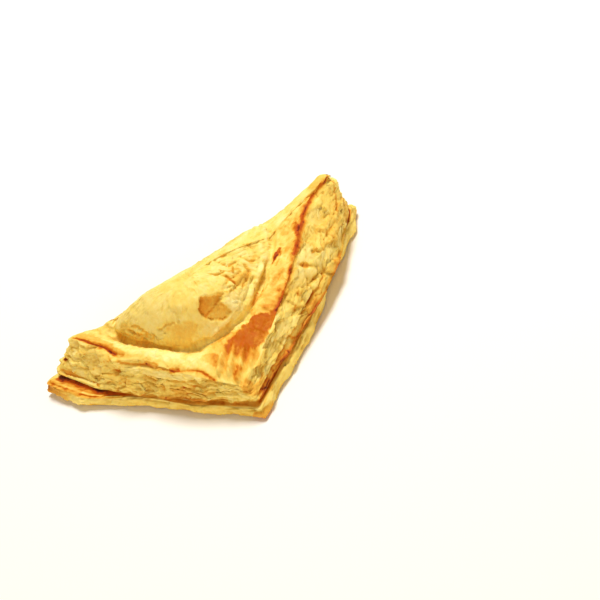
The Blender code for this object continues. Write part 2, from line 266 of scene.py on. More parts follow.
def inset(plan, depth):
    """Plan curves drawn inwards by depths, and by a limited multiple of them at the far corners."""
    inwards = MIDDLE - plan
    distance = np.linalg.norm(inwards, axis=-1)
    multiple = np.minimum(distance / INRADIUS, CORNER_INSET_LIMIT)
    return plan + inwards * (depth * multiple / distance)[..., None]


# %% The formulas of the zones
cut = cutness(place)
lower = outline(LOWER_CORNERS, (LOWER_FRONT, LOWER_RIGHT, FOLD_BACK), place)
foot = outline(FOOT_CORNERS, (FOOT_FRONT, FOOT_RIGHT, FOLD_BACK), place)
rim = outline(RIM_CORNERS, (RIM_FRONT, RIM_RIGHT, FOLD_BACK), place)
rim_height = smooth_through(RIM_HEIGHT, place)
crease_height = smooth_through(CREASE_HEIGHT, place)
crease = crease_curve(rim)
seam = inset(foot, SEAM_DEPTH * cut)
foot_height = smooth_through(FOOT_HEIGHT, place)
flap_height = foot_height - MOUTH_HEIGHT
seam_height = foot_height - SEAM_DROP


def underside(share):
    """A flat floor: the lower flap's outline, drawn in and scaled about the middle."""
    share = np.maximum(share, 0.5 / ZONE_ROWS["underside"])[..., None]
    rim_of_floor = inset(lower, UNDERSIDE_INSET * np.ones(columns))
    return raised(lerp(MIDDLE, rim_of_floor, share), 0.0)


def edge(share):
    """The lower flap's rounded edge: how far it stands in and how high it is are curves through stops."""
    depth = cut * smooth_through(EDGE_INSET, share) + (1 - cut) * smooth_through(NOSE_INSET, share)
    return raised(inset(lower, depth), flap_height * smooth_through(EDGE_HEIGHT, share))


def seam_floor(share):
    """The top of the lower flap, running in under the upper one."""
    share = share**FLOOR_CROWDING
    start = inset(lower, EDGE_INSET[-1][1] * cut)
    return raised(lerp(start, seam, share[..., None]), lerp(flap_height, seam_height, share))


def seam_roof(share):
    """The underside of the upper flap, running back out to its foot."""
    return raised(lerp(seam, foot, share[..., None]), lerp(seam_height, foot_height, share))


def wall(share):
    """The puffed wall: from foot to rim, leaning in by a power of the share, or a round nose at the fold."""
    fullness = smooth_through(WALL_FULLNESS, place)
    nose = NOSE_ROUNDING * (1 - cut) * (1 - np.sqrt(1 - share**2))
    plan = inset(lerp(foot, rim, (share**fullness)[..., None]), nose)
    return raised(plan, lerp(foot_height, rim_height, share))


def roll(share):
    """From rim to crease on a straight slope, with a half wave on it whose crest is moved by a power."""
    start = inset(rim, NOSE_ROUNDING * (1 - cut))
    bend = np.log(0.5) / np.log(smooth_through(ROLL_CREST, place))
    height = lerp(rim_height, crease_height, share)
    height = height + smooth_through(ROLL_HEIGHT, place) * np.sin(np.pi * share**bend)
    return raised(lerp(start, crease, share[..., None]), height)


def dome(share):
    """From crease to top: rings that shrink and grow rounder, and a height of 1 - (1 - share)^steepness."""
    share = share**TOP_CROWDING
    away = crease - DOME_TOP
    reach = np.linalg.norm(away, axis=-1)
    rounder = (np.exp(np.log(reach).mean()) / reach) ** (DOME_ROUNDNESS * share)
    plan = DOME_TOP + away * ((1 - share) * rounder)[..., None]
    rise = 1 - (1 - share) ** smooth_through(DOME_STEEPNESS, place)
    return raised(plan, lerp(crease_height, DOME_HEIGHT, rise))


ZONES = {"underside": underside, "edge": edge, "seam_floor": seam_floor, "seam_roof": seam_roof,
         "wall": wall, "roll": roll, "dome": dome}
surface = np.concatenate([ZONES[zone](zone_shares(zone) + 0 * place) for zone in ZONE_ROWS])
row_zone = np.concatenate([np.full(rows, zone) for zone, rows in ZONE_ROWS.items()])
row_share = np.concatenate([zone_shares(zone)[:, 0] for zone in ZONE_ROWS])
print("grid:", surface.shape, "extent in mm:", np.ptp(surface.reshape(-1, 3), axis=0).round(1).tolist())

# %% [markdown]
# ## Where each vertex lies
# Relief and colour both follow the dough, so they need to know more than x, y and z: how far along the cut
# edge a vertex is, how far below or inside the rim, and which way is outwards there. These are all arrays of
# the same shape as the grid, so the later formulas stay short.

# %% Distances along the outline and across the rim
def along(points):
    """Length in mm from the first column, along a closed plan outline."""
    steps = np.linalg.norm(np.diff(points, axis=0, append=points[:1]), axis=1)
    return np.concatenate([[0.0], np.cumsum(steps)[:-1]])


def down_column(points):
    """Length in mm down each column of the grid, row by row."""
    steps = np.linalg.norm(np.diff(points, axis=0), axis=-1)
    return np.concatenate([np.zeros((1, points.shape[1])), np.cumsum(steps, axis=0)])


def first_row(zone):
    """The number of a zone's first row."""
    return int(np.argmax(row_zone == zone))


# The run is counted from L, forwards by way of C and T, and backwards along the last half of the fold
HALF_FOLD = 2.5
LAST_STEP = 0.8
run = along(foot)
run = np.broadcast_to(run - (place > HALF_FOLD) * (run[-1] + LAST_STEP), surface.shape[:2])
climb = down_column(surface)
past_rim = climb - climb[first_row("roll")]
past_foot = climb - climb[first_row("wall")]
past_edge = climb - climb[first_row("seam_floor")]
mouth = past_edge - np.linalg.norm(foot - inset(lower, EDGE_INSET[-1][1] * cut), axis=-1)
places = np.broadcast_to(place, surface.shape[:2])
cuts = np.broadcast_to(cut, surface.shape[:2])
shares = np.broadcast_to(row_share[:, None], surface.shape[:2])


def in_zone(*zones):
    """1 on the rows of the named zones, 0 elsewhere, for the whole grid."""
    return np.broadcast_to(np.isin(row_zone, zones)[:, None], surface.shape[:2]).astype(float)


def outwards(points):
    """Unit normals of a closed grid: the cross product of its two directions."""
    across = np.roll(points, -1, axis=1) - np.roll(points, 1, axis=1)
    up = np.gradient(points, axis=0)
    normal = np.cross(across, up)
    return normal / (np.linalg.norm(normal, axis=-1, keepdims=True) + 1e-9)


def window(value, low, high, soft):
    """1 between low and high, with soft edges."""
    return smoothstep(value, low - soft, low + soft) * (1 - smoothstep(value, high - soft, high + soft))


def between(low, high, soft):
    """The window between two places round the outline."""
    return window(places, low, high, soft)


def total(terms):
    """The sum of (amount, field) pairs: each amount times its field."""
    return sum(amount * field for amount, field in terms)


on_edge, on_wall, on_roll, on_dome = (in_zone(zone) for zone in ("edge", "wall", "roll", "dome"))
wall_rows = row_zone == "wall"
print("way up the wall at L in mm:", (climb[first_row("roll"), 0] - climb[first_row("wall"), 0]).round(1))

# %% [markdown]
# ## Bands along a path
# Much of what a baked crust shows is local: a crack, a ridge, a blister, a patch that caught more heat. Each
# is a band along a path of (x, y, z, half-width) stops laid on the surface. One function gives 1 inside such
# a band and 0 outside it, with a ragged edge from noise, and both relief and colour are built from it.

# %% Bands
def near_path(points, path):
    """For each point, its distance to a path of (x, y, z, half-width) stops, in half-widths: the smallest
    over the path's segments, with the half-width blended along each."""
    nearest = np.full(points.shape[:-1], 1e3)
    for start, end in zip(path[:-1], path[1:]):
        step = end[:3] - start[:3]
        share = np.clip((points - start[:3]) @ step / (step @ step + 1e-9), 0, 1)
        gap = np.linalg.norm(points - start[:3] - share[..., None] * step, axis=-1)
        nearest = np.minimum(nearest, gap / (start[3] + (end[3] - start[3]) * share))
    return nearest


def along_path(path, shape, ragged, seed, size):
    """A function of the distance to a path, worked out only for the vertices that lie near it. Noise of
    a given size makes its edge ragged."""
    path = np.array(path if len(path) > 1 else path * 2, float)
    reach = 3 * path[:, 3].max()
    inside = (surface > path[:, :3].min(axis=0) - reach) & (surface < path[:, :3].max(axis=0) + reach)
    inside = inside.all(axis=-1)
    points = surface[inside]
    wobble = ragged * rough(points, size, size * 0.4, seed)
    result = np.zeros(surface.shape[:2])
    result[inside] = shape(near_path(points, path) + wobble)
    return result


def band(path, ragged=0.2, seed=31, soft=0.15, size=2.5):
    """1 within a path's half-width and 0 outside, with an edge that is soft by a share of it."""
    return along_path(path, lambda gap: 1 - smoothstep(gap, 1 - soft, 1 + soft), ragged, seed, size)


def ridge(path, ragged=0.2, seed=31, size=2.5):
    """A rounded ridge along a path: exp of minus the distance in half-widths squared."""
    return along_path(path, lambda gap: np.exp(-gap * np.abs(gap)), ragged, seed, size)


def ridges_along(paths, ragged, seed, size=2.5):
    """The sum of ridges along several paths, each with a seed of its own."""
    return sum(ridge(path, ragged, seed + number, size) for number, path in enumerate(paths))


def facet(corners, axes, ragged, seed, soft=0.25, size=1.6):
    """1 inside a patch with straight sides, given in two of the three axes. The largest of the distances
    in mm past its sides, with noise added, is below 0 inside it."""
    corners = np.array(corners, float)
    spot = surface[..., list(axes)]
    past = np.full(spot.shape[:-1], -np.inf)
    for start, end in zip(corners, np.roll(corners, -1, axis=0)):
        side = end - start
        out = np.array([side[1], -side[0]]) / np.linalg.norm(side)
        out = out * np.sign((start - corners.mean(axis=0)) @ out)
        past = np.maximum(past, (spot - start) @ out)
    past = past + ragged * rough(surface, size, size * 0.4, seed)
    return 1 - smoothstep(past, -soft, soft)


# %% Flat flakes
LINE_WIDTH = 0.12
PLATE_JITTER = 0.45


def plates(points, size, seed):
    """Flat flakes: each point belongs to the nearest of a seed jittered in each square of a grid. Gives each
    flake's own random slope and number, the way from its seed, and the distance to its edge in sizes."""
    spot = points / size
    cell = np.floor(spot).astype(int)
    best = np.full(spot.shape[:-1], 9.0)
    second = best.copy()
    own = np.zeros(spot.shape[:-1], int)
    offset = np.zeros(spot.shape)
    for corner in itertools.product((-1, 0, 1), repeat=2):
        key = (cell + corner) & 255
        turn = SHUFFLE[(SHUFFLE[(key[..., 0] + 37 * seed) & 255] + key[..., 1]) & 255]
        away = spot - (cell + corner + 0.5 + PLATE_JITTER * SLOPES[turn][..., :2])
        gap = np.linalg.norm(away, axis=-1)
        closer = gap < best
        second = np.where(closer, best, np.minimum(second, gap))
        own = np.where(closer, turn, own)
        offset = np.where(closer[..., None], away, offset)
        best = np.where(closer, gap, best)
    return SLOPES[own], offset * size, second - best


def flaky(points, size, step, tilt, seed):
    """Depth in mm of flakes that each stand out by their own step and lean by their own tilt, the
    lines between them, 0 to 1, and each flake's own number, about -1 to 1."""
    slope, offset, edge = plates(points, size, seed)
    depth = step * slope[..., 2] + tilt * np.sum(offset * slope[..., :2], axis=-1)
    return depth, np.clip(1 - edge / LINE_WIDTH, 0, 1), slope[..., 2]


# %% [markdown]
# ## Layers in the walls
# Puff pastry is dough and butter folded until there are dozens of leaves. In the oven they part, so a cut
# wall shows crumpled leaves of uneven depth with dark gaps between some of them, and patches where a leaf
# has broken off. The height on the wall is counted in leaves and bent by noise; the whole part of that
# number picks the leaf and its own noise, and the fraction shapes its edge, which leans up or down and
# stands out or is gone. Flat tilted flakes in three sizes lie over the leaves.

# %% Stacked leaves
LEAVES, EDGE_LEAVES = 6, 3
LEAF_DEPTH = 0.65
GAP_DEPTH, GAP_WIDTH = 0.7, 0.14


def leaf_relief(count, bend, seed):
    """Depth in mm of a stack of leaves, each at its own depth, and how near its edge each vertex lies,
    0 to 1. The edges are steps: a leaf only throws a shadow where it stands out."""
    sheet = shares * count + bend * rough(stack(run, shares * 11, 0), 12, 5, seed)
    sheet = sheet + 0.12 * noise(stack(run, shares * 14, 0), 2.6, seed + 2)
    leaf = np.floor(sheet)
    part = sheet - leaf
    lean = 0.8 * np.clip(2 * noise(stack(run, leaf * 13, 0), 9, seed + 3), -1, 1)
    stand = 1.7 * noise(stack(run, leaf * 31, 0), 8, seed + 4)
    stand = stand + 0.25 * noise(stack(run, leaf * 31, 9), 3, seed + 5)
    present = np.clip(0.5 + 1.6 * noise(stack(run, np.floor(sheet + 0.5) * 23, 3), 9, seed + 6), 0, 1)
    gap = np.clip(1 - np.minimum(part, 1 - part) / GAP_WIDTH, 0, 1) * present
    return LEAF_DEPTH * (stand + lean * (part - 0.5)) - GAP_DEPTH * gap, gap


wall_relief, wall_gap_shade = leaf_relief(LEAVES, 1.3, 1)
edge_relief, edge_gap = leaf_relief(EDGE_LEAVES, 0.7, 11)
print("leaves in mm from", wall_relief.min().round(2), "to", wall_relief.max().round(2))

# %% Crumpled and broken leaves, crevices and flat flakes
BROKEN_DEPTH = 0.45
CRUMPLE_DEPTH = 0.25
CREVICE_DEPTH = 0.35


def billow(points, size, seed):
    """Puffed cells with sharp creases between them: the absolute value of noise, at three sizes."""
    cells = np.abs(noise(points, size, seed)) + 0.5 * np.abs(noise(points, size * 0.47, seed + 1))
    return cells + 0.25 * np.abs(noise(points, size * 0.21, seed + 2)) - 0.45


def broken(points, size, seed):
    """Steps where leaves have broken away: a two-size noise cut at two levels, from -1 to 1."""
    field = rough(points, size, size * 0.36, seed, 0.45)
    return smoothstep(-field, 0.3, 0.36) - smoothstep(field, 0.22, 0.28)


along_run, up_wall = stack(run, 0, 0), stack(run, past_foot, 0)
unrolled = stack(run / 1.6, past_foot, 0.3 * run)
bent = past_foot + 1.8 * noise(up_wall, 9, 27) + 0.7 * noise(up_wall, 3.5, 28)
shifted = run + 1.5 * noise(stack(run, past_foot, 5), 6, 29)
drawn_out = stack(run / 4.5, bent, 0)
big_flakes, big_lines, big_own = flaky(stack(shifted / 2.0, bent), 4.2, 0.5, 0.26, 1)
small_flakes, _, small_own = flaky(stack(shifted / 2.4, bent), 1.9, 0.14, 0.12, 2)
wide_flakes, wide_lines, wide_own = flaky(stack(shifted / 1.5, bent + 0.3 * run), 7.0, 0.5, 0.22, 5)
left_flakes, left_lines, left_own = flaky(stack(shifted / 1.3 + 0.5 * bent, bent), 8.0, 0.8, 0.30, 7)
on_left, on_right = between(0.06, 0.42, 0.05), between(1.02, 2.0, 0.05)
crevices = 1 - smoothstep(np.abs(noise(drawn_out, 1.7, 180)), 0.0, 0.11)
crevices = crevices * smoothstep(noise(drawn_out, 1.5, 181), -0.1, 0.2) * on_wall * cuts

wall_relief += CRUMPLE_DEPTH * billow(unrolled, 8, 20) + BROKEN_DEPTH * broken(unrolled, 8, 26)
wall_relief = (0.85 - 0.45 * on_right) * wall_relief + 0.5 * (big_flakes + small_flakes)
wall_relief += (0.5 + 0.4 * on_right) * wide_flakes - CREVICE_DEPTH * crevices
wall_relief = wall_relief * (1 - 0.4 * on_left) + on_left * (0.9 * left_flakes - 0.5 * left_lines)
edge_relief = 0.8 * edge_relief + 0.5 * big_flakes + 0.7 * small_flakes + 0.3 * broken(unrolled, 5, 24)
edge_relief += 0.6 * noise(along_run, 11, 182) + 0.15 * noise(along_run, 3, 183)
print("crevices cover", (100 * crevices[wall_rows].mean()).round(1), "% of the wall")

# %% Cracks, the rim and the ledge
CRACK_DEPTH = 0.9
LEDGE_LINE_DEPTH = 0.9
HOLLOW_DEPTH = 0.8

# Cracks and the edges of larger flakes on the walls, each a path with half-widths
WALL_CRACKS = (
    ((-51.6, 29.8, 18.1, 0.4), (-50.5, 26.4, 16.2, 0.5), (-47.9, 23.3, 17.1, 0.4), (-46.5, 22.6, 18.6, 0.3)),
    ((-61, 32.4, 10.6, 0.4), (-56.5, 31.9, 14.4, 0.5), (-53.4, 30.9, 16.6, 0.4)),
    ((-50.1, 23.8, 16, 0.5), (-51.5, 21.2, 12.3, 0.6), (-52.9, 19.9, 10.5, 0.5)),
    ((-45.9, 21.4, 18.7, 0.4), (-43.3, 14.2, 17, 0.5), (-48.5, 16.3, 12.4, 0.6), (-52, 17.5, 9.5, 0.4)),
    ((-45.3, 13.6, 14.3, 0.4), (-42, 11, 15.5, 0.5), (-40.1, 9.3, 15.3, 0.6), (-38.5, 8.8, 17.5, 0.5)),
    ((-47.5, 13.6, 9.2, 0.4), (-45.1, 11.3, 11, 0.5), (-42.3, 8.9, 10.8, 0.5), (-41.1, 6.3, 8.3, 0.4)),
    ((-39.7, 8.3, 13.3, 0.5), (-39, 5.6, 10.4, 0.6), (-37.2, 2.9, 8.6, 0.4)),
    ((-36, 5, 13.6, 0.4), (-33.1, 1.4, 13.3, 0.6), (-28.6, -3.9, 14.3, 0.7), (-24.7, -8.2, 13.9, 0.8),
     (-20.1, -12.6, 14.6, 0.8), (-16.3, -15.9, 15.4, 0.6), (-13.1, -19.4, 14.6, 0.4)),
    ((-10.7, -18.7, 16.9, 0.3), (-9.9, -21.1, 15.8, 0.5), (-10.5, -22, 13.5, 0.4)),
    ((-42, 6.6, 8.1, 0.4), (-37.3, 1.3, 8.2, 0.5), (-28.4, -6.3, 8.4, 0.4), (-20.3, -14.3, 8.8, 0.6),
     (-11.8, -22.1, 10, 0.5), (-5, -26.9, 10.6, 0.4)),
    ((38.5, 4.4, 21, 0.5), (42, 4, 18, 0.6), (46.2, 5.4, 12.9, 0.4)),
    ((43.5, 1.8, 14.2, 0.4), (45.4, 3.8, 12.5, 0.4), (45.4, 1.9, 11.4, 0.3), (42.7, -0.5, 9.2, 0.4),
     (39.9, -2.8, 11.2, 0.4), (43.5, 1.8, 14.2, 0.3)),
    ((54.9, 18.5, 18.5, 0.4), (54, 14.2, 15.3, 0.5), (48.6, 9.2, 15.8, 0.5), (46, 9.5, 19, 0.3)),
    ((40.3, 1.5, 17.5, 0.3), (38.3, -1.1, 15, 0.5), (38.5, -3.2, 11.5, 0.5), (34.8, -6.5, 11, 0.4)),
    ((25.2, -11.6, 13.6, 0.4), (29, -8.8, 13.8, 0.6), (33.1, -6.1, 13.8, 0.6), (36.6, -3.2, 14.2, 0.4)),
    ((24.8, -9.9, 17.6, 0.3), (21.1, -13.3, 16.7, 0.5), (16.8, -16.8, 15.9, 0.4), (10, -23, 13.4, 0.4)),
    ((7.4, -25.7, 12.6, 0.4), (11.4, -22.8, 12, 0.5), (16.2, -20.4, 11, 0.5), (20.5, -16.5, 12, 0.4)),
    ((64.2, 27.1, 15.9, 0.4), (64.1, 25.2, 11.8, 0.5), (59.5, 18.8, 11.9, 0.5), (54.7, 13, 10.8, 0.4)),
    ((59, 20.6, 15.4, 0.4), (54.4, 16.3, 16.2, 0.5), (51.6, 13.7, 16.4, 0.3)),
    ((44.6, 3.6, 12.9, 0.4), (41.5, 0.6, 13.8, 0.5), (38.9, -1.8, 14.1, 0.4)),
    ((63.7, 27.4, 16.6, 0.5), (59.8, 23.2, 16.7, 0.5), (56, 22, 19.5, 0.4)),
    ((-35.7, 2.6, 12, 0.4), (-36.2, 1.1, 8.4, 0.5)), ((-36.7, 4.3, 12.4, 0.4), (-37.4, 1.8, 8.1, 0.4)),
    ((-28.2, -4.9, 12.3, 0.4), (-28.8, -6.6, 9.6, 0.5)), ((-23, -9.6, 12.8, 0.4), (-24, -11.2, 9.8, 0.5)),
    ((-44.5, 21.1, 19.1, 0.4), (-45.3, 17.4, 17.3, 0.5), (-45.8, 15.2, 14.9, 0.4)),
    ((-47.9, 23.3, 17.1, 0.4), (-48.3, 19.5, 15.1, 0.5), (-50.7, 17.7, 11.5, 0.5)),
    ((-50, 26.9, 17.8, 0.4), (-50.4, 23.1, 15.7, 0.5), (-52.6, 22.5, 11.8, 0.5)),
)
FRONT_RIM = ((-50.3, 33.7, 20.6, 0.4), (-46.4, 28.7, 20.7, 0.5), (-43.5, 23.2, 20.5, 0.5),
    (-40.2, 18.4, 20.6, 0.6), (-37.9, 12.6, 20.4, 0.8), (-37.1, 9.1, 18.8, 0.8), (-34, 5.7, 18, 0.6),
    (-29.5, 1.4, 18.5, 0.6), (-25.4, -3.2, 18.2, 0.8), (-22.5, -7.5, 17.8, 0.8), (-18.8, -11, 18.5, 0.6),
    (-15.1, -13.1, 18.6, 0.5), (-12, -16.1, 17.9, 0.5), (-10.6, -18.6, 16.9, 0.6), (-9.4, -21.5, 15.8, 0.5))
RIGHT_RIM = ((66, 34.6, 24.8, 0.3), (63.7, 33, 24.6, 0.9), (59.9, 31.4, 25.2, 1.2), (55.6, 28.3, 25.2, 1.2),
    (51.9, 24.8, 25.2, 1.2), (48.9, 21.1, 24.8, 1.3), (44.9, 15.7, 23.9, 1.3), (41.4, 10.4, 23.6, 1.2),
    (36.9, 4.8, 22.3, 1.3), (33.3, 0.3, 21.8, 1.2), (29.6, -3.7, 20.8, 1.2), (26.2, -7, 20.6, 1.4),
    (22.8, -9.5, 20, 1.5))
CREAM_LEAF = ((-36.6, 6.7, 15.6, 1), (-30.9, 1.1, 16, 1.7), (-26.2, -5.3, 16.6, 2),
    (-19.9, -11.7, 16.8, 1.9), (-13.4, -17.2, 16.4, 1))
HOLLOW_FRONT = ((-33, 0, 9, 2), (-24, -8.5, 9.5, 3), (-13.5, -18.5, 10, 2.2))

cracks = np.clip(ridges_along(WALL_CRACKS, 0.35, 50, 1.6), 0, 1) * on_wall
cracks = cracks * (0.6 + 0.6 * noise(surface, 3, 89))
by_rim = in_zone("wall", "roll")
front_rim = ridge(FRONT_RIM, 0.35, 110, 2.0) * by_rim
right_rim = ridge(RIGHT_RIM, 0.25, 112, 2.0) * by_rim
rim_line = along_path(RIGHT_RIM, lambda gap: hump(gap, 0, 0.95), 0.18, 112, 2.0) * by_rim
cream_leaf = band(CREAM_LEAF, 0.3, 90, 0.3)
hollow_front = band(HOLLOW_FRONT, 0.3, 233, 0.5)
ledge_top = 0.24 + 0.05 * noise(along_run, 9, 114) + 0.025 * noise(along_run, 2.5, 115)
ledge = between(1.03, 1.5, 0.05) * smoothstep(ledge_top - shares, 0.0, 0.04) * on_wall
ledge_line = hump(shares, ledge_top, 0.035) * between(1.03, 1.6, 0.05) * on_wall

wall_relief = wall_relief * (1 - 0.55 * cream_leaf) + 0.5 * cream_leaf - CRACK_DEPTH * cracks
wall_relief -= HOLLOW_DEPTH * hollow_front
wall_relief = wall_relief * (1 - 0.5 * ledge) - 0.5 * ledge - LEDGE_LINE_DEPTH * ledge_line
wall_fade = on_wall * smoothstep(shares, 0.0, 0.05) * falling(shares, 0.93, 1.0) * cuts
edge_fade = on_edge * window(shares, 0.3, 1.05, 0.12) * cuts
foot_wave = 0.7 * noise(along_run, 9, 184) + 0.4 * noise(along_run, 3.2, 185)
foot_wave = foot_wave * (in_zone("seam_roof") * shares + on_wall * falling(shares, 0, 0.2)) * cuts
# Painted shade: the gaps between leaves, which darken the colour below
wall_gap_shade = np.clip(wall_gap_shade * wall_fade + edge_gap * edge_fade, 0, 1)
print("cracks cover", (100 * cracks[wall_rows].mean()).round(1), "% of the wall")

# %% [markdown]
# ## The skin on top
# The roll and the dome are covered by the outermost leaf. It swells in slow lumps, wrinkles where the dome
# pulled it, and its blistered skin has flaked off in thin patches. A step in a smooth noise gives the ragged
# outline of such a patch. Ridges of pinched skin bound the dome on the right, one patch on the dome's front
# has sunk and opened, and the dough is gathered in rounded pleats at the corner C.

# %% Where the ridges, furrows, wrinkles and patches of the skin run
DOME_RIDGE = ((0.5, -9, 18.6, 1.1), (6.5, -5.8, 19.2, 1.3), (11.2, -3.4, 21.4, 1.3), (15.5, -1.2, 22, 1.2),
    (22.7, 6, 23, 1.3), (29, 13.8, 23.4, 1.4), (31.8, 19.6, 24, 1.4), (33.1, 26, 24, 1.2),
    (33.9, 31.2, 23.2, 0.8))
INNER_RIDGE = ((-4, -4.6, 18.6, 0.8), (5.7, -3.2, 21.8, 1.2), (14.1, 0.2, 24.3, 1.4), (22.8, 6.9, 22.9, 1.2),
    (26.6, 11.5, 23.3, 0.9), (30.4, 19.6, 24.8, 0.8))
UPPER_RIDGES = (
    ((31.9, 31.9, 23, 0.8), (30.5, 23.2, 25.6, 0.9), (29.7, 18.7, 24.9, 0.6)),
    ((35.1, 29.6, 23.4, 0.9), (33.6, 23.8, 23.7, 1), (32.8, 19.6, 22.9, 0.6)),
    ((39.2, 28.3, 23.9, 0.8), (37.9, 22.8, 23.8, 0.9), (35.7, 18.1, 23.7, 0.6)),
)
FURROWS = (
    ((-35.3, 25.2, 17.4, 0.9), (-31.8, 18.7, 17.2, 0.9), (-26.2, 12.3, 17.7, 0.9), (-20.7, 6, 16.5, 0.9),
     (-16.3, 0, 17.6, 0.9), (-12.3, -2.6, 17.5, 0.8), (-8.6, -2.9, 18.8, 0.8), (-3, -4.5, 18.3, 0.7),
     (3, -4.8, 18.3, 0.8), (9.8, -2.2, 22.2, 0.7), (15.2, 0.6, 23.6, 0.8), (21.4, 7, 24, 0.7)),
    ((20.8, 3.4, 20.7, 0.7), (25.5, 8, 21.6, 0.9), (30.4, 13, 22.6, 0.7)),
)
WRINKLES = (
    ((-29.6, 21.2, 22.6, 0.4), (-27.7, 17.8, 22, 0.4)),
    ((-26.9, 15.5, 21.2, 0.5), (-24.6, 12.5, 20.6, 0.7), (-22.2, 9.7, 20.2, 0.5)),
    ((-19, 8.6, 24.7, 0.4), (-17.1, 6.1, 23.8, 0.5)),
    ((-32.5, 21.5, 19.5, 0.4), (-29.5, 16.4, 19.4, 0.5), (-26.5, 13.2, 19.3, 0.4)),
    ((13.4, 13.3, 33.6, 0.4), (15.5, 11, 31.7, 0.6), (18.8, 12.4, 30.2, 0.4)),
    ((12, 7.6, 32.4, 0.4), (14.4, 5.8, 29.8, 0.6), (18.2, 8.4, 28.5, 0.5)),
    ((11.5, 1.9, 28.3, 0.4), (15.8, 3.9, 27.6, 0.6), (19.4, 7.1, 26.9, 0.5)),
    ((7.5, 9.5, 35, 0.3), (10.5, 8, 33.6, 0.5), (13.5, 8.8, 32.4, 0.3)),
    ((21.5, 15, 29.5, 0.4), (23.6, 12.6, 27, 0.5), (25.2, 13, 25.4, 0.4)),
    ((8.2, 3.6, 31.6, 0.3), (10.2, 2.4, 30, 0.5), (12.6, 3.2, 29.4, 0.3)),
    ((24.6, 21, 29, 0.4), (27, 18.5, 26.6, 0.5), (28.2, 20, 25.6, 0.3)),
    ((12.3, 9.4, 32.9, 0.35), (13.7, 6.2, 30.6, 0.6), (14.5, 4.2, 28.5, 0.4)),
    ((13.7, 6.2, 30.6, 0.6), (11.6, 4.1, 30.7, 0.4), (9.2, 2.4, 30.7, 0.3)),
    ((21.1, 11.1, 27.9, 0.5), (21.4, 8.6, 25.9, 0.6), (19.2, 6.1, 25.8, 0.6), (16.4, 3.4, 25.9, 0.5)),
    ((-27.4, 18.4, 23.7, 0.4), (-25.5, 15.9, 24, 0.5), (-23.9, 12.6, 22.3, 0.6), (-21.7, 9.4, 21.2, 0.4)),
    ((-29.5, 19.4, 21.4, 0.4), (-27.5, 15.9, 20.7, 0.5), (-25.3, 12, 19.1, 0.4)),
    ((-31.4, 26.1, 21.9, 0.3), (-30.3, 21.5, 21.9, 0.4), (-29.1, 17.9, 20.6, 0.3)),
    ((-18.2, 7.5, 24.4, 0.3), (-15.2, 5.8, 26.6, 0.4), (-10.6, 2.2, 28.1, 0.3)),
)
FLANGE_LINE = ((36.5, 14, 23.8, 0.35), (32, 8.7, 23.3, 0.4), (27.1, 4.5, 22.8, 0.4), (22.3, -0.1, 22.2, 0.4),
    (17.4, -1.6, 20.6, 0.4), (10.2, -4.6, 19.8, 0.3))
CREASE_LINE = ((-35.2, 27.8, 17.8, 0.35), (-34, 22.4, 17.4, 0.45), (-25.6, 10.8, 16.9, 0.45),
    (-19.1, 4.5, 16.9, 0.5), (-13, -5, 18.8, 0.4))
LEFT_CREASE = ((-36.5, 31, 18, 1), (-35.3, 25.2, 17.4, 1.2), (-31.8, 18.7, 17.2, 1))
PLEATS = (
    ((5.6, -16.2, 18.4, 1.1), (2.6, -20.6, 17.4, 1.2), (-1.5, -25.2, 15.4, 0.9)),
    ((8.2, -18.6, 17.6, 1.1), (4.9, -23, 15.8, 1.2), (1, -27.6, 13.8, 0.9)),
    ((3.4, -13.9, 19, 1), (0, -18.2, 18.8, 1.2), (-3.8, -22.6, 16.6, 1)),
    ((0.4, -12.2, 19, 0.8), (-3.2, -15.8, 19, 1), (-6.6, -19.6, 17.4, 0.8)),
)
PLEATED_CORNER = ((1, -20, 17.5, 9),)
PEEL_RIDGE = ((-0.9, -1.6, 26.6, 0.4), (2.6, -0.9, 28, 0.5), (6.4, 0.6, 29, 0.5), (10.5, 1.4, 28.6, 0.4))
PEEL_LINE = ((6.3, -0.1, 28.7, 0.35), (2.2, -1.3, 27.5, 0.45), (-1.3, -1.7, 26.5, 0.4),
    (1.1, -2.6, 24.2, 0.3), (4.3, -3.2, 22.5, 0.35), (8.3, -2.6, 23.4, 0.3))

# Corners of patches with straight sides: seen from the front as (x, z), and from above as (x, y)
PEEL_LEFT = ((1.1, 33.6), (9.3, 29.8), (6.2, 28.7), (-0.9, 26.4), (-2, 27), (-2.1, 30.5))
PEEL_LOW = ((6.6, 28.9), (-1.2, 26.4), (0.6, 24.4), (4.2, 22.4), (8.5, 23.5))
PEEL_FLAKE = ((8.6, 29.2), (7, 28.4), (8.8, 23.6), (11.8, 22.8), (10.4, 27))
GOLD_PATCH = ((-13, 27.9), (-5.9, 28.4), (-6.4, 23.9), (-9.5, 20), (-14, 17.1), (-18.8, 17.3), (-18.5, 20.5))
ORANGE_PATCH = ((22.5, -9.4), (14.4, -7.4), (8.8, -8.3), (2.8, -10.3), (3.5, -15.2), (8.9, -19.4),
    (12.9, -18), (21.5, -12.5))
ORANGE_TAIL = ((9.5, -14), (2, -11.5), (-1.5, -14.5), (1.5, -20), (7, -24), (11.5, -19.5))
FROM_FRONT, FROM_ABOVE = (0, 2), (0, 1)  # The two axes that such corners are given in
print(len(WRINKLES), "wrinkles,", len(FURROWS), "furrows and", len(PLEATS), "pleats")

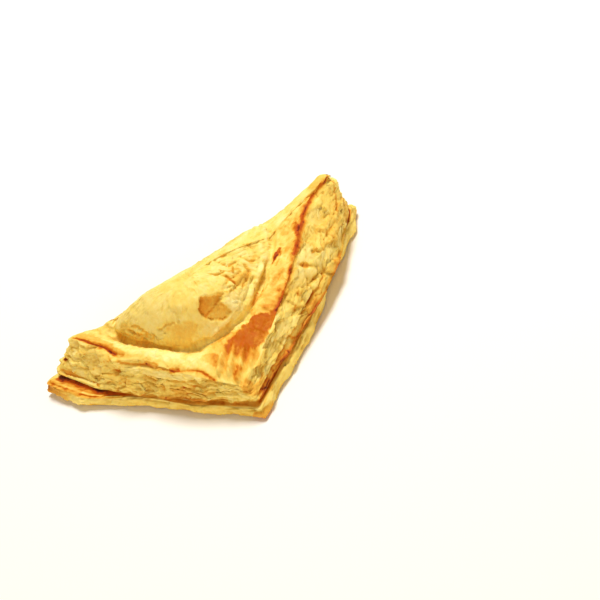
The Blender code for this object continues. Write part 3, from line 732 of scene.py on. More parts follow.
# %% Masks of the top, and its flakes and lost skin
on_front = on_dome * (surface[..., 1] < DOME_TOP[1])
on_top = in_zone("roll", "dome")
FAR_IN = 900  # A distance in mm that nothing reaches
top = on_top * np.maximum(window(past_rim, 0.3, FAR_IN, 0.3), 1 - cuts)
lumps = rough(surface, 17, 7, 40, 0.6)
warped = surface + 1.6 * stack(noise(surface, 6, 37), noise(surface, 6, 38), noise(surface, 6, 39))
flaky_part = np.clip(smoothstep(surface[..., 0] + 0.5 * surface[..., 2], 12, 26) + 0.2, 0, 1)
flaky_part = np.maximum(flaky_part, falling(surface[..., 2] - 4 * noise(surface, 9, 36), 19, 25))
flaky_top = top * flaky_part
tilted = warped[..., :2] + 0.6 * warped[..., 2:]
wide_skin, wide_skin_lines, wide_skin_own = flaky(tilted, 4.6, 0.08, 0.05, 3)
fine_skin, fine_skin_lines, fine_skin_own = flaky(tilted, 1.9, 0.08, 0.1, 4)


def skin_steps(size, level, seed):
    """Patches of lost skin: the step of a two-size noise at a level, 0 or 1 with a narrow edge, and the
    rag along that edge."""
    field = rough(warped, size, size * 0.35, seed, 0.4)
    return smoothstep(field, level, level + 0.05), hump(field, level, 0.04)


lost_a, rag_a = skin_steps(10, 0.24, 44)
lost_b, rag_b = skin_steps(5, 0.36, 46)
lost_c, rag_c = skin_steps(3.2, 0.5, 47)
print("skin lost from", (100 * lost_a[row_zone == "dome"].mean()).round(1), "% of the dome")

# %% Wrinkles, furrows, ridges, pleats and the peeled patch
PULL_X, PULL_Y = 0.87, 0.49
pulled = stack((PULL_X * warped[..., 0] + PULL_Y * warped[..., 1]) / 2.2,
               PULL_X * warped[..., 1] - PULL_Y * warped[..., 0], warped[..., 2] / 1.2)
wrinkles = 0.4 - np.abs(noise(pulled, 3.0, 42)) + 0.35 * noise(warped, 1.5, 43)
wrinkles = wrinkles * (0.35 + 0.65 * flaky_part)
furrows = np.clip(ridges_along(FURROWS, 0.45, 130, 3.5), 0, 1)
furrows = furrows * on_top * np.clip(0.8 + 0.9 * noise(surface, 7, 134), 0.25, 1.3)
folds = np.clip(ridges_along(WRINKLES, 0.4, 140, 1.5), 0, 1) * on_top
uppers = np.clip(ridges_along(UPPER_RIDGES, 0.3, 190), 0, 1) * on_top
uneven = np.clip(0.75 + 0.8 * noise(surface, 8, 163), 0.15, 1.3)
ridges = (0.7 * ridge(DOME_RIDGE, 0.45, 160, 4) + ridge(INNER_RIDGE, 0.4, 161, 3)) * on_top * uneven
ridges += 0.7 * uppers
dashes = np.clip(0.35 + 1.6 * noise(surface, 2.6, 194), 0, 1)
flange_line = ridge(FLANGE_LINE, 0.5, 195, 2.5) * on_top * dashes
crease_line = ridge(CREASE_LINE, 0.25, 197, 2.5) * on_top * (0.4 + 0.6 * dashes)
left_crease = ridge(LEFT_CREASE, 0.2, 199) * on_top
pleated = np.clip(ridges_along(PLEATS, 0.2, 170), 0, 1) * on_roll
peel_left = facet(PEEL_LEFT, FROM_FRONT, 0.45, 33, 0.3) * on_front
peel_low = facet(PEEL_LOW, FROM_FRONT, 0.45, 35, 0.3) * on_front
peel_flake = facet(PEEL_FLAKE, FROM_FRONT, 0.6, 36, 0.4) * on_front
peeled = np.maximum(peel_left, 0.5 * peel_low)
peel_line = ridge(PEEL_LINE, 0.3, 164) * on_dome
across_roll = noise(stack(run / 3, past_rim, 0), 1.6, 230)

# Heights in mm, outwards above 0 and inwards below, each with the mask that it is laid on
SKIN_RELIEF = (
    (0.5, lumps), (0.42, wrinkles), (-0.25, lost_a + lost_b + lost_c),
    (1, (wide_skin + fine_skin) * flaky_part), (0.9, ridges), (-1.5, furrows), (-0.9, folds),
    (-0.5, flange_line), (-0.5, crease_line), (-1.2, left_crease), (1.6, pleated),
    (-0.48, band(PLEATED_CORNER, 0.1, 175, 0.4)), (-1.4, peeled * (1 + 0.3 * noise(surface, 2.0, 49))),
    (0.5, peel_flake), (-0.4, peel_line), (0.7, ridge(PEEL_RIDGE, 0.2, 162) * on_dome),
    (0.14, on_roll * across_roll),
)
top_relief = total(SKIN_RELIEF)
print("skin in mm from", top_relief.min().round(2), "to", top_relief.max().round(2))

# %% The folded back, the flap and the tip
on_fold = in_zone("edge", "wall") * (1 - cuts)
fold_creases = np.clip(0.25 - np.abs(noise(stack(run / 5, past_foot, 0), 4.5, 221)), 0, 1)
fold_relief = on_fold * (0.5 * lumps + 0.2 * wrinkles - 0.2 * lost_a - 0.15 * lost_b - 1.2 * fold_creases)
fold_relief = fold_relief * np.where(on_edge > 0, smoothstep(shares, 0.25, 0.6), 1)
back_fill = hump(climb - climb[first_row("dome")], 0, 2.2) * between(1.9, 2.75, 0.1) * on_top

on_flap = in_zone("seam_floor") * cuts
flap_top = on_flap * window(shares, 0.05, 0.8, 0.1)
streaks = noise(stack(run / 5, past_edge, 0), 1.1, 118) + 0.5 * noise(stack(run / 3, past_edge, 0), 0.6, 119)
flap_way = past_edge / np.maximum(past_edge - mouth, 0.5) + 0.05 * noise(along_run, 5, 187)
flap_step = smoothstep(flap_way, 0.42, 0.50) - 1.6 * hump(flap_way, 0.78, 0.10)

outer = np.concatenate([lower, foot])
PLAN_SHIFT = np.array([*(outer.min(axis=0) + outer.max(axis=0)) / 2, 0.0])
TIP = np.array([68.4, 35.8, 25.2])
from_tip = np.linalg.norm(surface - TIP, axis=-1)
print("plan shift in mm:", PLAN_SHIFT.round(2).tolist())

# %% All the relief, laid on the surface along its normals
# The last three terms keep the crust inside the solid's box
RELIEF = (
    (wall_fade, wall_relief), (edge_fade, edge_relief), (top, top_relief), (1, fold_relief), (1, foot_wave),
    (0.9, back_fill), (0.35, flap_top * streaks),
    (0.4, flap_top * noise(stack(run / 2, past_edge, 0), 4, 186)),
    (0.5, flap_top * flap_step * falling(places, 0.4, 0.6)),
    (1.0, hump(from_tip, 6.0, 2.6)), (-1.7, hump(from_tip, 0, 2.4)), (-0.40, front_rim), (-0.35, right_rim),
    (-0.55, smoothstep(np.abs(surface[..., 0] - PLAN_SHIFT[0]), 66.0, 70.5)), (-0.3, 1), (-0.25, on_edge),
)
relief = total(RELIEF)
crust = surface + outwards(surface) * relief[..., None] * (1 - in_zone("underside"))[..., None]
crust[..., 2] = np.maximum(crust[..., 2], 0.0)
print("relief in mm from", relief.min().round(2), "to", relief.max().round(2))

# %% [markdown]
# ## How brown each part is, and where shade and highlight are painted
# The oven browns what stands out and dries first: the rim, the ends, the seam where fat has run, and
# blisters. Everything else stays pale yellow. That is one number for each vertex, from 0, pale, to 1, dark
# brown, kept as an attribute that the crust material turns into colour. It also carries painted shade,
# browner in the creases, wrinkles, gaps, crevices and hollows and on the back, and painted highlight, paler
# on ridges, on the roll's crest and on the low front of the dome. It is a sum of amounts times the masks made
# so far, part by part. A second number says where cut leaves show, a third is painted shade deep in the
# walls.

# %% Patches that browned more, or less, and two painted highlights
# How brown, over which zones, and the path of each. Levels up to PALE_LEVEL lighten too: the two such patches
# are painted highlights on the dome and its inner ridge
PALE_LEVEL = 0.15
PATCHES = (
    (0.36, ("roll",), ((-9, -11.5, 20, 1.6), (-6, -14, 19.6, 2.2), (-5.3, -16.7, 18.8, 2))),
    (0.40, ("roll",), ((-39.5, 17, 21, 1.2), (-36.8, 13.6, 21.1, 1.4), (-35, 10.6, 20.9, 1))),
    (0.44, ("roll", "wall"), ((-28.9, 1.8, 19.2, 0.8), (-25.5, -2.4, 19.3, 0.9))),
    (0.50, ("roll", "wall"), ((-23.1, -5.8, 18.4, 0.8), (-19.6, -9.9, 18.7, 1))),
    (0.38, ("roll",), ((-46.9, 32.2, 20.6, 2), (-42.6, 24.6, 20.8, 2.4), (-38.8, 18.3, 20.9, 2))),
    (0.42, ("roll", "wall"), ((-0.2, -29.2, 12.6, 2.6), (1.8, -30.4, 10.2, 2.4), (4.1, -29.2, 9.4, 2))),
    (0.46, ("roll",), ((-2.1, -25.2, 15.3, 1.2), (0.4, -22.8, 16.4, 1.3))),
    (0.44, ("roll",), ((44.8, 20.6, 24.6, 1.6), (44.4, 15.9, 24.3, 1.6))),
    (0.42, ("roll", "wall"), ((58, 34.6, 24.9, 1.6), (62.8, 35.4, 25, 2), (66.5, 34.6, 24.6, 2))),
    (0.52, ("roll",), ((30.6, 10.8, 23.1, 1.2), (33.4, 13, 23.6, 1.3), (35.4, 14.6, 23.7, 0.9))),
    (0.72, ("roll",), ((31, 11.2, 23.2, 0.4), (33, 12.4, 23.5, 0.9), (33.8, 14, 23.7, 0.5))),
    (0.38, ("dome",), ((14.6, 4.4, 28.6, 1.2), (17, 5.6, 27.4, 2), (20.2, 8, 26.4, 1.6))),
    (0.62, ("dome",), ((13.2, 7.6, 31.6, 0.3), (14.1, 5.8, 30, 0.6), (14.7, 4.3, 28.5, 0.35))),
    (0.46, ("dome",), ((12, 9.9, 33.2, 0.3), (14.4, 8.6, 31.3, 0.4), (18.5, 9.6, 29, 0.3))),
    (0.44, ("dome",), ((7.7, 2.8, 31.5, 0.3), (9.8, 1.8, 29.6, 0.4), (13, 2.1, 27.9, 0.3))),
    # Painted highlights: the next two patches are paler where light catches the dome and the inner ridge
    (0.10, ("dome",), ((9.8, 3.4, 31.2, 0.7), (11.2, 2.4, 29.6, 1))),
    (0.08, ("dome", "roll"), ((17.9, 3, 23.9, 0.7), (14.6, 0.4, 24.2, 1), (10.6, -2, 23.2, 1),
        (5.9, -3.4, 21.3, 0.8))),
    (0.44, ("dome",), ((21.1, 11.1, 27.9, 0.7), (21.4, 8.6, 25.9, 0.8), (19.2, 6.1, 25.8, 0.7),
        (16.4, 3.4, 25.9, 0.6))),
    (0.40, ("dome",), ((26.6, 15.2, 25.8, 0.7), (23.6, 12.3, 26.6, 0.8))),
    (0.44, ("dome",), ((-27.4, 18.4, 23.7, 0.5), (-25.5, 15.9, 24, 0.6), (-23.9, 12.6, 22.3, 0.7),
        (-21.7, 9.4, 21.2, 0.5))),
    (0.46, ("roll", "dome"), ((16.5, -1, 19.6, 0.6), (18.8, 0.9, 20.4, 1), (21.9, 1.2, 22, 0.7))),
    (0.62, ("roll", "dome"), ((20.2, 2.2, 20.5, 0.4), (21.4, 1.9, 21.2, 0.6), (22.3, 2.7, 21.3, 0.4))),
    (0.50, ("wall",), ((66.6, 33.7, 22.4, 0.8), (65.2, 30.3, 19.3, 0.8), (62.2, 24.7, 15.9, 0.9))),
    (0.50, ("wall",), ((37.5, 5.4, 20.4, 1.2), (41, 4.4, 18.6, 1.4))),
    (0.55, ("wall",), ((-41.2, 10.4, 15.5, 0.6), (-39.8, 9.1, 14.9, 0.5))),
    (0.95, ("wall",), ((-58, 32.8, 13.8, 0.9), (-57.2, 33.2, 15.4, 0.6))),
    (0.72, ("wall", "seam_floor"), ((-62.5, 32, 8, 0.3), (-60, 29.5, 7.6, 0.4))),
    (0.75, ("edge",), ((-64.4, 26.8, 1.5, 0.6), (-63.8, 26, 2.2, 0.5))),
    (0.44, ("edge",), ((-3, -35, 2, 2.2), (1, -36, 2, 2.6), (4, -33, 2, 1.8))),
    (0.50, ("wall",), ((-62, 33, 10.2, 0.9), (-58.8, 28.1, 9.2, 1.1), (-55.7, 22.8, 8.4, 1),
        (-50, 16, 7.6, 0.7))),
)


def speckled(size, level, seed):
    """Scattered small spots: where noise passes a level."""
    return smoothstep(noise(surface, size, seed), level, level + 0.12)


# %% Browning of the leaves and the skin, with painted highlight on the ridges and painted shade in furrows and wrinkles
# Each term is how much browner a mask makes the crust: below 0 it makes it paler
mottle = rough(surface, 9, 3.2, 60, 0.7) + 0.45 * noise(surface, 1.5, 62)
thin_lines = 1 - smoothstep(np.abs(noise(stack(run / 5, bent, 0), 1.3, 188)), 0.0, 0.07)
thin_lines = thin_lines * smoothstep(noise(drawn_out, 3, 189), -0.2, 0.2) * wall_fade
# Painted highlight: the ridges are made paler. Painted shade: the furrows are made browner, and the folds
# partly so, as they are also browned dabs
brown_and_shade = 0.19 + total((
    (0.07, mottle), (-0.10, np.clip(ridges, 0, 1)), (-0.08, cream_leaf), (-0.03, on_left), (0.08, furrows),
    (0.28, folds), (0.05, (lost_a - 0.5) * top), (0.06, rag_a * flaky_top), (0.08, rag_b * flaky_top),
    (0.10, rag_c * flaky_top), (0.04, (wide_skin_own + fine_skin_own) * flaky_top),
    (0.02, (wide_skin_lines + fine_skin_lines) * flaky_top), (0.04, big_own * wall_fade),
    (0.03, small_own * wall_fade), (0.06, big_lines * wall_fade), (0.05, left_own * on_left * wall_fade),
    (0.20, left_lines * on_left * wall_fade), (0.07 + 0.05 * on_right, (wide_own + wide_lines) * wall_fade),
    (-0.04, between(1.15, 1.75, 0.1) * on_wall), (0.10, thin_lines),
))
print("browning of the leaves and the skin: mean", brown_and_shade.mean().round(3))

# %% Browning of the patches
for number, (level, zones, path) in enumerate(PATCHES):
    where_brown = band(path, 0.28, 200 + 2 * number, 0.14, 2.2) * in_zone(*zones)
    change = level + 0.05 * mottle - brown_and_shade
    brown_and_shade += where_brown * np.where(level > PALE_LEVEL, np.maximum(change, 0), 0.8 * change)
peel_shade = smoothstep(surface[..., 0] - 0.8 * (surface[..., 2] - 30), -4, 5)
orange = facet(ORANGE_PATCH, FROM_ABOVE, 1.0, 210, 0.6, 2.2) * on_roll
FACETS = (
    (0.65, orange), (0.46, facet(ORANGE_TAIL, FROM_ABOVE, 1.6, 214, 1.2, 2.6) * on_roll),
    (0.56 - 0.13 * peel_shade, peel_left), (0.38, peel_low),
    (0.33, facet(GOLD_PATCH, FROM_FRONT, 1.4, 212, 1.1, 3.0) * on_front),
)
for level, where_brown in FACETS:
    brown_and_shade += where_brown * np.maximum(level + 0.06 * mottle - brown_and_shade, 0)
print("with", len(PATCHES) + len(FACETS), "patches: mean", brown_and_shade.mean().round(3))

# %% Browning of the roll and its rim, with a painted highlight on the roll's crest and painted shade along its sides and in the crease
# Painted highlight: the middle of the roll, made paler below
crest = hump(shares, 0.5, 0.22) * between(0.1, 0.85, 0.08) * on_roll
flange = between(1.22, 1.98, 0.04) * on_roll
flange_noise = np.clip(0.3 + 1.6 * noise(surface, 4, 66), 0, 1) * window(past_rim, 0.8, 6, 2)
pleat_side = between(0.86, 1.14, 0.05) * on_roll * smoothstep(shares, 0.05, 0.3)
left_roll = between(0.0, 0.4, 0.06) * on_roll
brown_and_shade += total((
    # Painted shade: crease_line browns the crease at the foot of the dome. Painted highlight: crest makes the
    # roll's middle paler
    (0.28, peel_line), (-0.10, peel_flake), (0.30, flange_line), (0.12, crease_line), (-0.10, crest),
    # Painted shade: browner along both sides of the roll
    (0.07, between(0.05, 0.9, 0.05) * on_roll * (np.abs(shares - 0.5) > 0.3)),
    # Painted highlight: the pleats' crests are made paler; the browner pleat side is baked colour
    (0.22 - 0.18 * pleated + 0.10 * noise(surface, 3.0, 65), pleat_side),
    (0.08 + 0.14 * flange_noise, flange),
    (0.12, flange * np.clip(3 * noise(warped, 3, 67) - 0.6, 0, 1)), (0.06, right_rim),
    (0.57 + 0.08 * noise(surface, 5, 63), rim_line), (0.42 + 0.2 * noise(surface, 5, 67), front_rim),
    (0.07, (across_roll + 0.6 * noise(stack(run, past_rim, 0), 1.4, 231)) * on_roll),
    (0.05, left_roll * (0.8 + 1.2 * noise(drawn_out, 2.2, 190))),
))
print("with the roll: mean", brown_and_shade.mean().round(3))

# %% Browning of the walls, the seam and the flap, and painted shade in the walls' gaps, crevices and hollow
foot_leaf = smoothstep(-shares, -0.10 - 0.04 * noise(along_run, 7, 232), -0.05) * on_wall
left_end, right_half = falling(places, 0.3, 0.42), between(1.02, 2.0, 0.04)
seam_strip = on_flap * smoothstep(mouth, -0.6, 0.0)
deep = hump(past_foot, -0.8, 1.1) * in_zone("seam_floor", "seam_roof", "wall") * cuts
flap_lines = 0.30 * hump(flap_way, 0.78, 0.10) - 0.24 * hump(flap_way, 0.56, 0.09)
flap_lines += 0.24 * hump(flap_way, 0.36, 0.06)
brown_and_shade += total((
    (0.16, between(1.04, 1.7, 0.05) * falling(shares, 0.1, 0.26) * on_wall),
    (0.13, ledge * (0.9 + 0.8 * noise(surface, 4, 116))), (0.36, ledge_line),
    (-0.04, between(1.1, 1.9, 0.1) * on_wall), (0.20, foot_leaf * between(0.3, 1.9, 0.1)),
    # Painted shade: all but the cracks on the next line darken the front hollow, the gaps between leaves and
    # the crevices
    (0.07, hollow_front), (0.22, cracks), (0.10, wall_gap_shade), (0.10, crevices),
    (0.22, speckled(1.7, 0.6, 77) * on_wall * cuts),
    (0.28 + flap_lines * (1 + 0.9 * noise(surface, 2.5, 121)) + 0.10 * streaks, on_flap * left_end),
    (0.08, on_flap * left_end * noise(surface, 5, 120)),
    (0.14, on_flap * left_end * smoothstep(noise(surface, 1.8, 122), 0.3, 0.5)),
    (0.17 + 0.12 * streaks, on_flap * right_half),
    (0.30 + 0.10 * left_end + 0.14 * right_half + 0.10 * noise(surface, 4, 78), seam_strip),
    (0.30 - 0.12 * left_end, deep * (0.9 + 0.6 * noise(surface, 5, 74))),
    (0.30, between(-0.02, 0.13, 0.03) * on_edge * smoothstep(shares, 0.3, 0.6)),
    (0.22, between(0.95, 1.03, 0.02) * on_edge * falling(shares, 0.2, 0.5)),
    (0.14, falling(shares, 0.3, 0.6) * on_edge * cuts),
))
print("with the walls and the flap: mean", brown_and_shade.mean().round(3))

# %% Browning of the back, the underside and the tip, painted shade on the back, painted light on the low dome, and the last limits
# Partly painted shade: the side facing the back is made browner, which tones down the key light from behind;
# its blisters and fold creases are baked colour
back_browning_and_shade = smoothstep(outwards(surface)[..., 1], 0.5, 0.85) * (1 - in_zone("underside")) * (1 - wall_fade)
blisters = smoothstep(noise(surface, 4.0, 222) + 0.4 * noise(surface, 1.6, 223), 0.2, 0.5)
# Painted light: the low front of the dome, which lies in shade, is made paler
low_dome_painted_light = on_dome * falling(surface[..., 2], 20, 28) * falling(surface[..., 1], 4, 16)
brown_and_shade += total((
    (-0.18, hump(from_tip, 0, 9)), (-0.05, low_dome_painted_light * falling(surface[..., 0], -6, 4)),
    (0.10 + 0.12 * noise(surface, 11, 224) + 0.12 * blisters + 0.7 * fold_creases, back_browning_and_shade),
    (0.27 + 0.12 * noise(surface, 13, 225) + 0.08 * noise(surface, 5, 226), in_zone("underside")),
))
brown_and_shade = np.clip(lerp(brown_and_shade, 0.63 + 0.04 * mottle, 0.85 * orange), 0.0, 1.0)
leaves_show = np.clip(in_zone("edge", "wall") * cuts * window(past_rim, -FAR_IN, -0.8, 0.5), 0, 1)
# Painted shade: how deep a vertex lies below the wall's relief, which darkens its colour in the material
hollow_shade = np.clip((-0.4 - relief) / 2.2, 0, 1) * in_zone("wall", "edge") * cuts
print("browning from", brown_and_shade.min().round(2), "to", brown_and_shade.max().round(2), "mean", brown_and_shade.mean().round(2))

# %% [markdown]
# ## Writing a grid into a mesh
# A loft closes on itself round the outline, and a fan of triangles closes each end. The faces are worked out
# as arrays of vertex numbers, and foreach_set writes each attribute in one call.

# %% Mesh writing
def loft_quads(rows, columns):
    """Quads between neighbouring rows of a closed grid, turned so that they face outwards."""
    start = np.arange(rows - 1)[:, None] * columns
    here = np.arange(columns)[None, :]
    after = (here + 1) % columns
    quads = np.stack([start + here, start + after, start + after + columns, start + here + columns], -1)
    return quads.reshape(-1, 4)


def pole_fans(rows, columns):
    """Triangles from the first row to the point before it, and from the last row to the one after it."""
    here = np.arange(columns)
    after = (here + 1) % columns
    last = (rows - 1) * columns
    first_fan = np.stack([np.full(columns, rows * columns), after, here], -1)
    last_fan = np.stack([np.full(columns, rows * columns + 1), last + here, last + after], -1)
    return np.concatenate([first_fan, last_fan])


def row_frame(points):
    """The points in metres, moved as the solid was so that its box stands over the origin."""
    return (points - PLAN_SHIFT) * MM


def write_mesh(name, points, faces, material, attributes):
    """One smooth-shaded mesh object with number attributes on its points."""
    mesh = bpy.data.meshes.new(name)
    mesh.from_pydata(row_frame(points).tolist(), [], faces)
    for label, values in attributes.items():
        attribute = mesh.attributes.new(label, "FLOAT", "POINT")
        attribute.data.foreach_set("value", np.asarray(values, dtype=np.float32))
    mesh.materials.append(material)
    mesh.shade_smooth()
    piece = bpy.data.objects.new(name, mesh)
    bpy.context.scene.collection.objects.link(piece)
    print(name, len(mesh.vertices), "vertices")
    return piece


print("quads in the crust:", len(loft_quads(len(row_zone), columns)))

# %% [markdown]
# ## Crust material: baked puff pastry
# The real finish is laminated butter dough, baked until its skin has dried and browned. It is matt where its
# leaves are dry and slightly glossy where fat has baked on, and light goes a little way into it, which keeps
# its shadows warm. The browning attribute, which also holds painted shade and highlight, runs through a
# colour ramp from pale yellow to dark brown, one for the skin and one for the cut leaves, and a tint
# multiplied in by the third attribute paints shade deep in the walls. Noise at the size of blisters and
# crumbs breaks up colour and surface.

# %% Node helpers and the crust
def linear(hex_colour):
    """sRGB hex to linear RGBA."""
    channels = np.array([int(hex_colour[i:i + 2], 16) for i in (1, 3, 5)]) / 255
    low, high = channels / 12.92, ((channels + 0.055) / 1.055) ** 2.4
    return (*np.where(channels <= 0.04045, low, high), 1.0)


def add_node(tree, kind, settings=None, inputs=None, links=None):
    """One node, with its settings, its input values and the sockets that feed it."""
    node = tree.nodes.new(kind)
    for key, value in (settings or {}).items():
        setattr(node, key, value)
    for key, value in (inputs or {}).items():
        node.inputs[key].default_value = value
    for key, socket in (links or {}).items():
        tree.links.new(socket, node.inputs[key])
    return node


def ramp(tree, factor, stops):
    """A colour ramp with (place, hex colour) stops."""
    node = add_node(tree, "ShaderNodeValToRGB", links={"Fac": factor})
    elements = node.color_ramp.elements
    elements[0].position, elements[0].color = stops[0][0], linear(stops[0][1])
    elements[1].position, elements[1].color = stops[-1][0], linear(stops[-1][1])
    for position, colour in stops[1:-1]:
        elements.new(position).color = linear(colour)
    return node.outputs["Color"]


SKIN_STOPS = ((0, "#F5E69C"), (0.22, "#F0D46E"), (0.4, "#E8B64A"), (0.52, "#DD982E"), (0.64, "#BE6402"),
    (0.78, "#BE4F04"), (0.9, "#7E3010"), (1, "#4C1C0C"))
LEAF_STOPS = ((0, "#FBE794"), (0.22, "#F2D56C"), (0.4, "#EAB84A"), (0.55, "#DB9029"), (0.7, "#C6671C"),
    (0.85, "#8A3A10"), (1, "#4C1C0C"))

# Painted shade: the tint multiplied into the colour deep in the walls
HOLLOW_SHADE_TINT = "#DCC27C"
BLISTER_SIZE, CRUMB_SIZE, CRUMB_DEPTH, LIGHT_DEPTH = 1.4, 0.7, 0.25, 1.2
SPECKLE = 0.05


def crust_material():
    """Baked crust: browning and fine noise through two colour ramps, mixed where cut leaves show, and
    darkened by a tint of painted shade where the walls lie deep."""
    material = bpy.data.materials.new("baked_puff_pastry")
    material.use_nodes = True
    tree = material.node_tree
    shader = tree.nodes["Principled BSDF"]
    where = add_node(tree, "ShaderNodeTexCoord").outputs["Object"]
    browning_and_shade, leaves, painted_hollow_shade = (
        add_node(tree, "ShaderNodeAttribute", {"attribute_name": label}).outputs["Fac"]
        for label in ("browning_and_shade", "leaves", "painted_hollow_shade")
    )
    fine = add_node(tree, "ShaderNodeTexNoise", links={"Vector": where}, inputs={
        "Scale": 1 / (BLISTER_SIZE * MM), "Detail": 4.0, "Roughness": 0.65}).outputs["Fac"]
    speckle = add_node(tree, "ShaderNodeMapRange", links={"Value": fine}, inputs={
        "From Min": 0.3, "From Max": 0.7, "To Min": -SPECKLE, "To Max": SPECKLE}).outputs["Result"]
    tone = add_node(tree, "ShaderNodeMath", {"operation": "ADD"}, links={0: browning_and_shade, 1: speckle})
    tone = tone.outputs["Value"]
    skin_colour = ramp(tree, tone, SKIN_STOPS)
    leaf_colour = ramp(tree, tone, LEAF_STOPS)
    both = add_node(tree, "ShaderNodeMix", {"data_type": "RGBA"},
                    links={"Factor": leaves, "A": skin_colour, "B": leaf_colour}).outputs["Result"]
    shaded = add_node(tree, "ShaderNodeMix", {"data_type": "RGBA", "blend_type": "MULTIPLY"},
                      {"B": linear(HOLLOW_SHADE_TINT)}, {"Factor": painted_hollow_shade, "A": both}).outputs["Result"]
    tree.links.new(shaded, shader.inputs["Base Color"])
    crumb = add_node(tree, "ShaderNodeTexNoise", inputs={"Scale": 1 / (CRUMB_SIZE * MM), "Detail": 3.0},
                     links={"Vector": where}).outputs["Fac"]
    bump = add_node(tree, "ShaderNodeBump", inputs={"Strength": 0.35, "Distance": CRUMB_DEPTH * MM},
                    links={"Height": crumb})
    tree.links.new(bump.outputs["Normal"], shader.inputs["Normal"])
    sockets = {"Roughness": 0.62, "IOR": 1.45, "Specular IOR Level": 0.16, "Subsurface Weight": 0.15,
               "Subsurface Radius": (1.0, 0.6, 0.25), "Subsurface Scale": LIGHT_DEPTH * MM}
    for label, value in sockets.items():
        shader.inputs[label].default_value = value
    return material


# %% The crust
rows = len(row_zone)
pole_points = np.array([[*MIDDLE, 0.0], [*DOME_TOP, crust[-1, :, 2].mean() + 0.05]])
points = np.concatenate([crust.reshape(-1, 3), pole_points])
faces = loft_quads(rows, columns).tolist() + pole_fans(rows, columns).tolist()
POLE_BROWNING = [0.46, 0.2]
attributes = {"browning_and_shade": np.append(brown_and_shade.ravel(), POLE_BROWNING),
              "leaves": np.append(leaves_show.ravel(), [0, 0]), "painted_hollow_shade": np.append(hollow_shade.ravel(), [0, 0])}
crust_look = crust_material()
crust_piece = write_mesh("crust", points, faces, crust_look, attributes)
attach(crust_piece, "root")
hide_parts("turnover")

# %% [markdown]
# ## Loose flakes
# Where leaves have parted, some of them stand away from the wall as thin flakes, held along one side. Each is
# a thin lens laid on the crust: its width follows the grid, so it bends with the wall, and its height over
# the crust grows from just below 0 at the held side to its lift at the free one. There are 110 on the walls
# and 42 on the dome, each kind joined into one mesh.

# %% Flakes laid on the crust
FLAKE_ROWS, FLAKE_COLUMNS = 7, 14
FLAKE_THICKNESS = 0.16
FLAKE_SINK = 0.12  # How far the held side lies below the crust


def read_grid(field, column, row):
    """A field of the grid read between its vertices: the four nearest values, each by its share."""
    row = np.clip(row, 0, len(field) - 1.001)
    left, low = np.floor(column).astype(int), np.floor(row).astype(int)
    across, up = (column - left)[..., None], (row - low)[..., None]
    left, right = left % columns, (left + 1) % columns
    lower_pair = lerp(field[low, left], field[low, right], across)
    return lerp(lower_pair, lerp(field[low + 1, left], field[low + 1, right], across), up)


def flakes(name, spots, half_length, half_height, lift, tone, leafy, seed):
    """Many flakes as one mesh. With the angles t from below to above and p round it, a flake's outline is
    r = sin(t) (1 + 0.2 cos(3p + a) + 0.12 cos(5p + b)), and its middle layer rises by the lift."""
    rng = np.random.default_rng(seed)
    count = len(spots)
    single = lambda low, high: rng.uniform(low, high, (count, 1, 1))
    t = np.pi * (1 - np.arange(1, FLAKE_ROWS + 1) / (FLAKE_ROWS + 1))
    t = np.concatenate([t, [np.pi, 0.0]])
    p = 2 * np.pi * np.arange(FLAKE_COLUMNS) / FLAKE_COLUMNS
    t, p = np.meshgrid(t, p, indexing="ij")
    radius = np.sin(t) * (1 + 0.2 * np.cos(3 * p + single(0, 7)) + 0.12 * np.cos(5 * p + single(0, 7)))
    size = single(0.55, 1.0)
    u = half_length * size * radius * np.cos(p)
    v = half_height * size * radius * np.sin(p)
    turn = single(-0.5, 0.5)
    u, v = u * np.cos(turn) - v * np.sin(turn), u * np.sin(turn) + v * np.cos(turn)
    free = single(-1.0, 1.0) + np.pi / 2
    towards_free = smoothstep(np.sin(t) * np.cos(p - free), -0.7, 1.0)
    rise = -FLAKE_SINK + lift * single(0.35, 1.0) * towards_free + FLAKE_THICKNESS / 2 * np.cos(t)
    column, row = spots[:, :1, None], spots[:, 1:, None]
    middle = read_grid(crust, column, row)
    step_across = np.linalg.norm(read_grid(crust, column + 1, row) - middle, axis=-1)
    step_up = np.linalg.norm(read_grid(crust, column, row + 1) - middle, axis=-1)
    column, row = column + u / step_across, row + v / step_up
    points = read_grid(crust, column, row) + read_grid(outwards(crust), column, row) * rise[..., None]
    colour = read_grid(brown_and_shade[..., None], *spots.T[:, :, None, None])[..., 0] + tone * single(-1, 1) - 0.04
    colour = colour + 0.10 * towards_free * single(0, 1)
    grid = points[:, :-2].reshape(count, -1, 3)
    points = np.concatenate([grid, points[:, -2:, 0]], axis=1)
    colour = np.concatenate([colour[:, :-2].reshape(count, -1), colour[:, -2:, 0]], axis=1)
    start = (np.arange(count) * points.shape[1])[:, None, None]
    quads = (loft_quads(FLAKE_ROWS, FLAKE_COLUMNS) + start).reshape(-1, 4)
    fans = (pole_fans(FLAKE_ROWS, FLAKE_COLUMNS) + start).reshape(-1, 3)
    values = np.clip(colour.ravel(), 0, 1)
    attributes = {"browning_and_shade": values, "leaves": np.full(len(values), leafy), "painted_hollow_shade": np.zeros(len(values))}
    piece = write_mesh(name, points.reshape(-1, 3), quads.tolist() + fans.tolist(), crust_look, attributes)
    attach(piece, "root")


def scattered(count, place_range, zone, share_range, seed):
    """Random (column, row) spots between two places and two shares of a zone."""
    rng = np.random.default_rng(seed)
    spot_places = rng.uniform(*place_range, count)
    spot_shares = rng.uniform(*share_range, count)
    return np.column_stack([spot_places * CUT_STEPS, first_row(zone) + spot_shares * ZONE_ROWS[zone]])


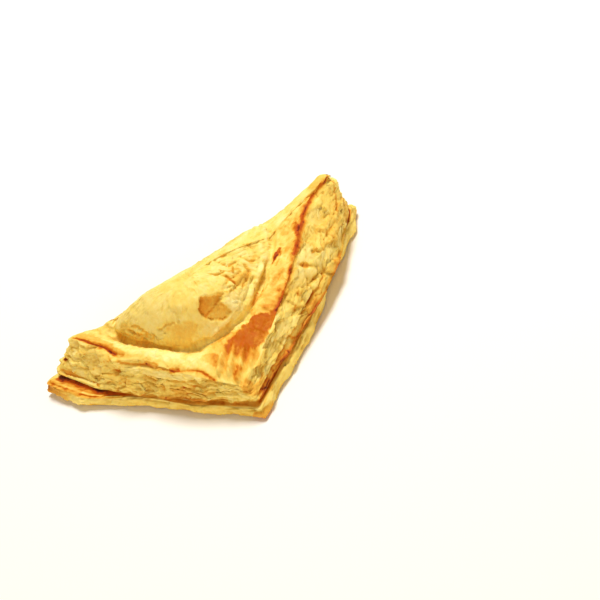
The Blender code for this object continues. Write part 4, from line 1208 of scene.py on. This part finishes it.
front_spots = scattered(46, (0.08, 0.95), "wall", (0.08, 0.88), 301)
right_spots = scattered(64, (1.05, 1.94), "wall", (0.10, 0.90), 302)
flakes("wall_flakes", np.concatenate([front_spots, right_spots]), 3.2, 1.1, 0.6, 0.06, 1.0, 303)
dome_spots = scattered(26, (1.25, 1.85), "dome", (0.10, 0.55), 304)
left_spots = scattered(16, (0.05, 0.60), "dome", (0.06, 0.22), 305)
flakes("skin_flakes", np.concatenate([dome_spots, left_spots]), 1.7, 0.8, 0.5, 0.06, 0.0, 306)

# %% [markdown]
# ## Floor, light and camera
# The key light is high and a little behind, as in a bright white studio, and two low warm fills at the front
# stand for the light that the pale floor throws back. So the floor is nearly white, and only a soft warm
# shadow shows under the front edge. The camera looks down from the corner C's side and is rolled, because
# the photographed pastry lay tilted.

# %% Floor
FLOOR_HALF = 1500.0


def floor_material():
    """White studio paper: matt and nearly white."""
    material = bpy.data.materials.new("studio_paper")
    material.use_nodes = True
    shader = material.node_tree.nodes["Principled BSDF"]
    shader.inputs["Base Color"].default_value = linear("#F4F2EE")
    shader.inputs["Roughness"].default_value = 0.9
    return material


floor_corners = np.array([[-1, -1, 0], [1, -1, 0], [1, 1, 0], [-1, 1, 0]]) * FLOOR_HALF * MM
floor_mesh = bpy.data.meshes.new("floor")
floor_mesh.from_pydata(floor_corners.tolist(), [], [(0, 1, 2, 3)])
floor_mesh.materials.append(floor_material())
floor = bpy.data.objects.new("floor", floor_mesh)
bpy.context.scene.collection.objects.link(floor)


# %% Lights
def placed(axes, position):
    """A matrix with these three axes as its columns, at a position in metres."""
    matrix = np.eye(4)
    matrix[:3, :3] = np.column_stack(axes)
    matrix[:3, 3] = position
    return Matrix(matrix.tolist())


def aim(position, target):
    """A matrix that places something in metres and points its own -Z at a target."""
    back = np.array(position, float) - target
    back /= np.linalg.norm(back)
    side = np.cross((0, 0, 1), back)
    side /= np.linalg.norm(side)
    return placed([side, np.cross(back, side), back], position)


def area_light(name, position, size, watts, colour):
    """A square soft light that looks at the pastry."""
    data = bpy.data.lights.new(name, "AREA")
    data.size, data.energy, data.color = size, watts, linear(colour)[:3]
    light = bpy.data.objects.new(name, data)
    light.matrix_world = aim(position, (0, 0, 0.01))
    bpy.context.scene.collection.objects.link(light)


area_light("key", (0.26, 0.34, 0.92), 0.3, 10.1, "#FFFFFF")
area_light("fill_left", (-0.7, -0.9, 0.38), 0.8, 5.9, "#FFEBC4")
area_light("fill_right", (1.0, -0.65, 0.38), 0.7, 2.8, "#FFEBC4")

world = bpy.data.worlds.new("studio")
world.use_nodes = True
world.node_tree.nodes["Background"].inputs["Color"].default_value = linear("#FFEFD8")
world.node_tree.nodes["Background"].inputs["Strength"].default_value = 0.3
bpy.context.scene.world = world
bpy.context.scene.view_settings.view_transform = "Standard"

# %% Camera
AZIMUTH, ELEVATION, ROLL = np.radians([-1.53, 43.58, -29.15])
CAMERA_DISTANCE = 600.0
AIM_RIGHT, AIM_UP = 24.83, 21.81
FRAME_PIXELS, FOCAL_PIXELS, SENSOR_WIDTH = 600, 1588.6, 36.0
back = np.array([np.sin(AZIMUTH), -np.cos(AZIMUTH), np.tan(ELEVATION)]) * np.cos(ELEVATION)
level_right = np.cross(-back, (0, 0, 1))
level_right /= np.linalg.norm(level_right)
level_up = np.cross(level_right, -back)
camera_right = level_right * np.cos(ROLL) + level_up * np.sin(ROLL)
camera_up = level_up * np.cos(ROLL) - level_right * np.sin(ROLL)
eye = camera_right * AIM_RIGHT + camera_up * AIM_UP + back * CAMERA_DISTANCE
camera_data = bpy.data.cameras.new("camera")
camera_data.sensor_width = SENSOR_WIDTH
camera_data.lens = FOCAL_PIXELS / FRAME_PIXELS * SENSOR_WIDTH
camera_data.clip_start = 0.01
camera = bpy.data.objects.new("camera", camera_data)
camera.matrix_world = placed([camera_right, camera_up, back], row_frame(eye))
bpy.context.scene.collection.objects.link(camera)
bpy.context.scene.camera = camera
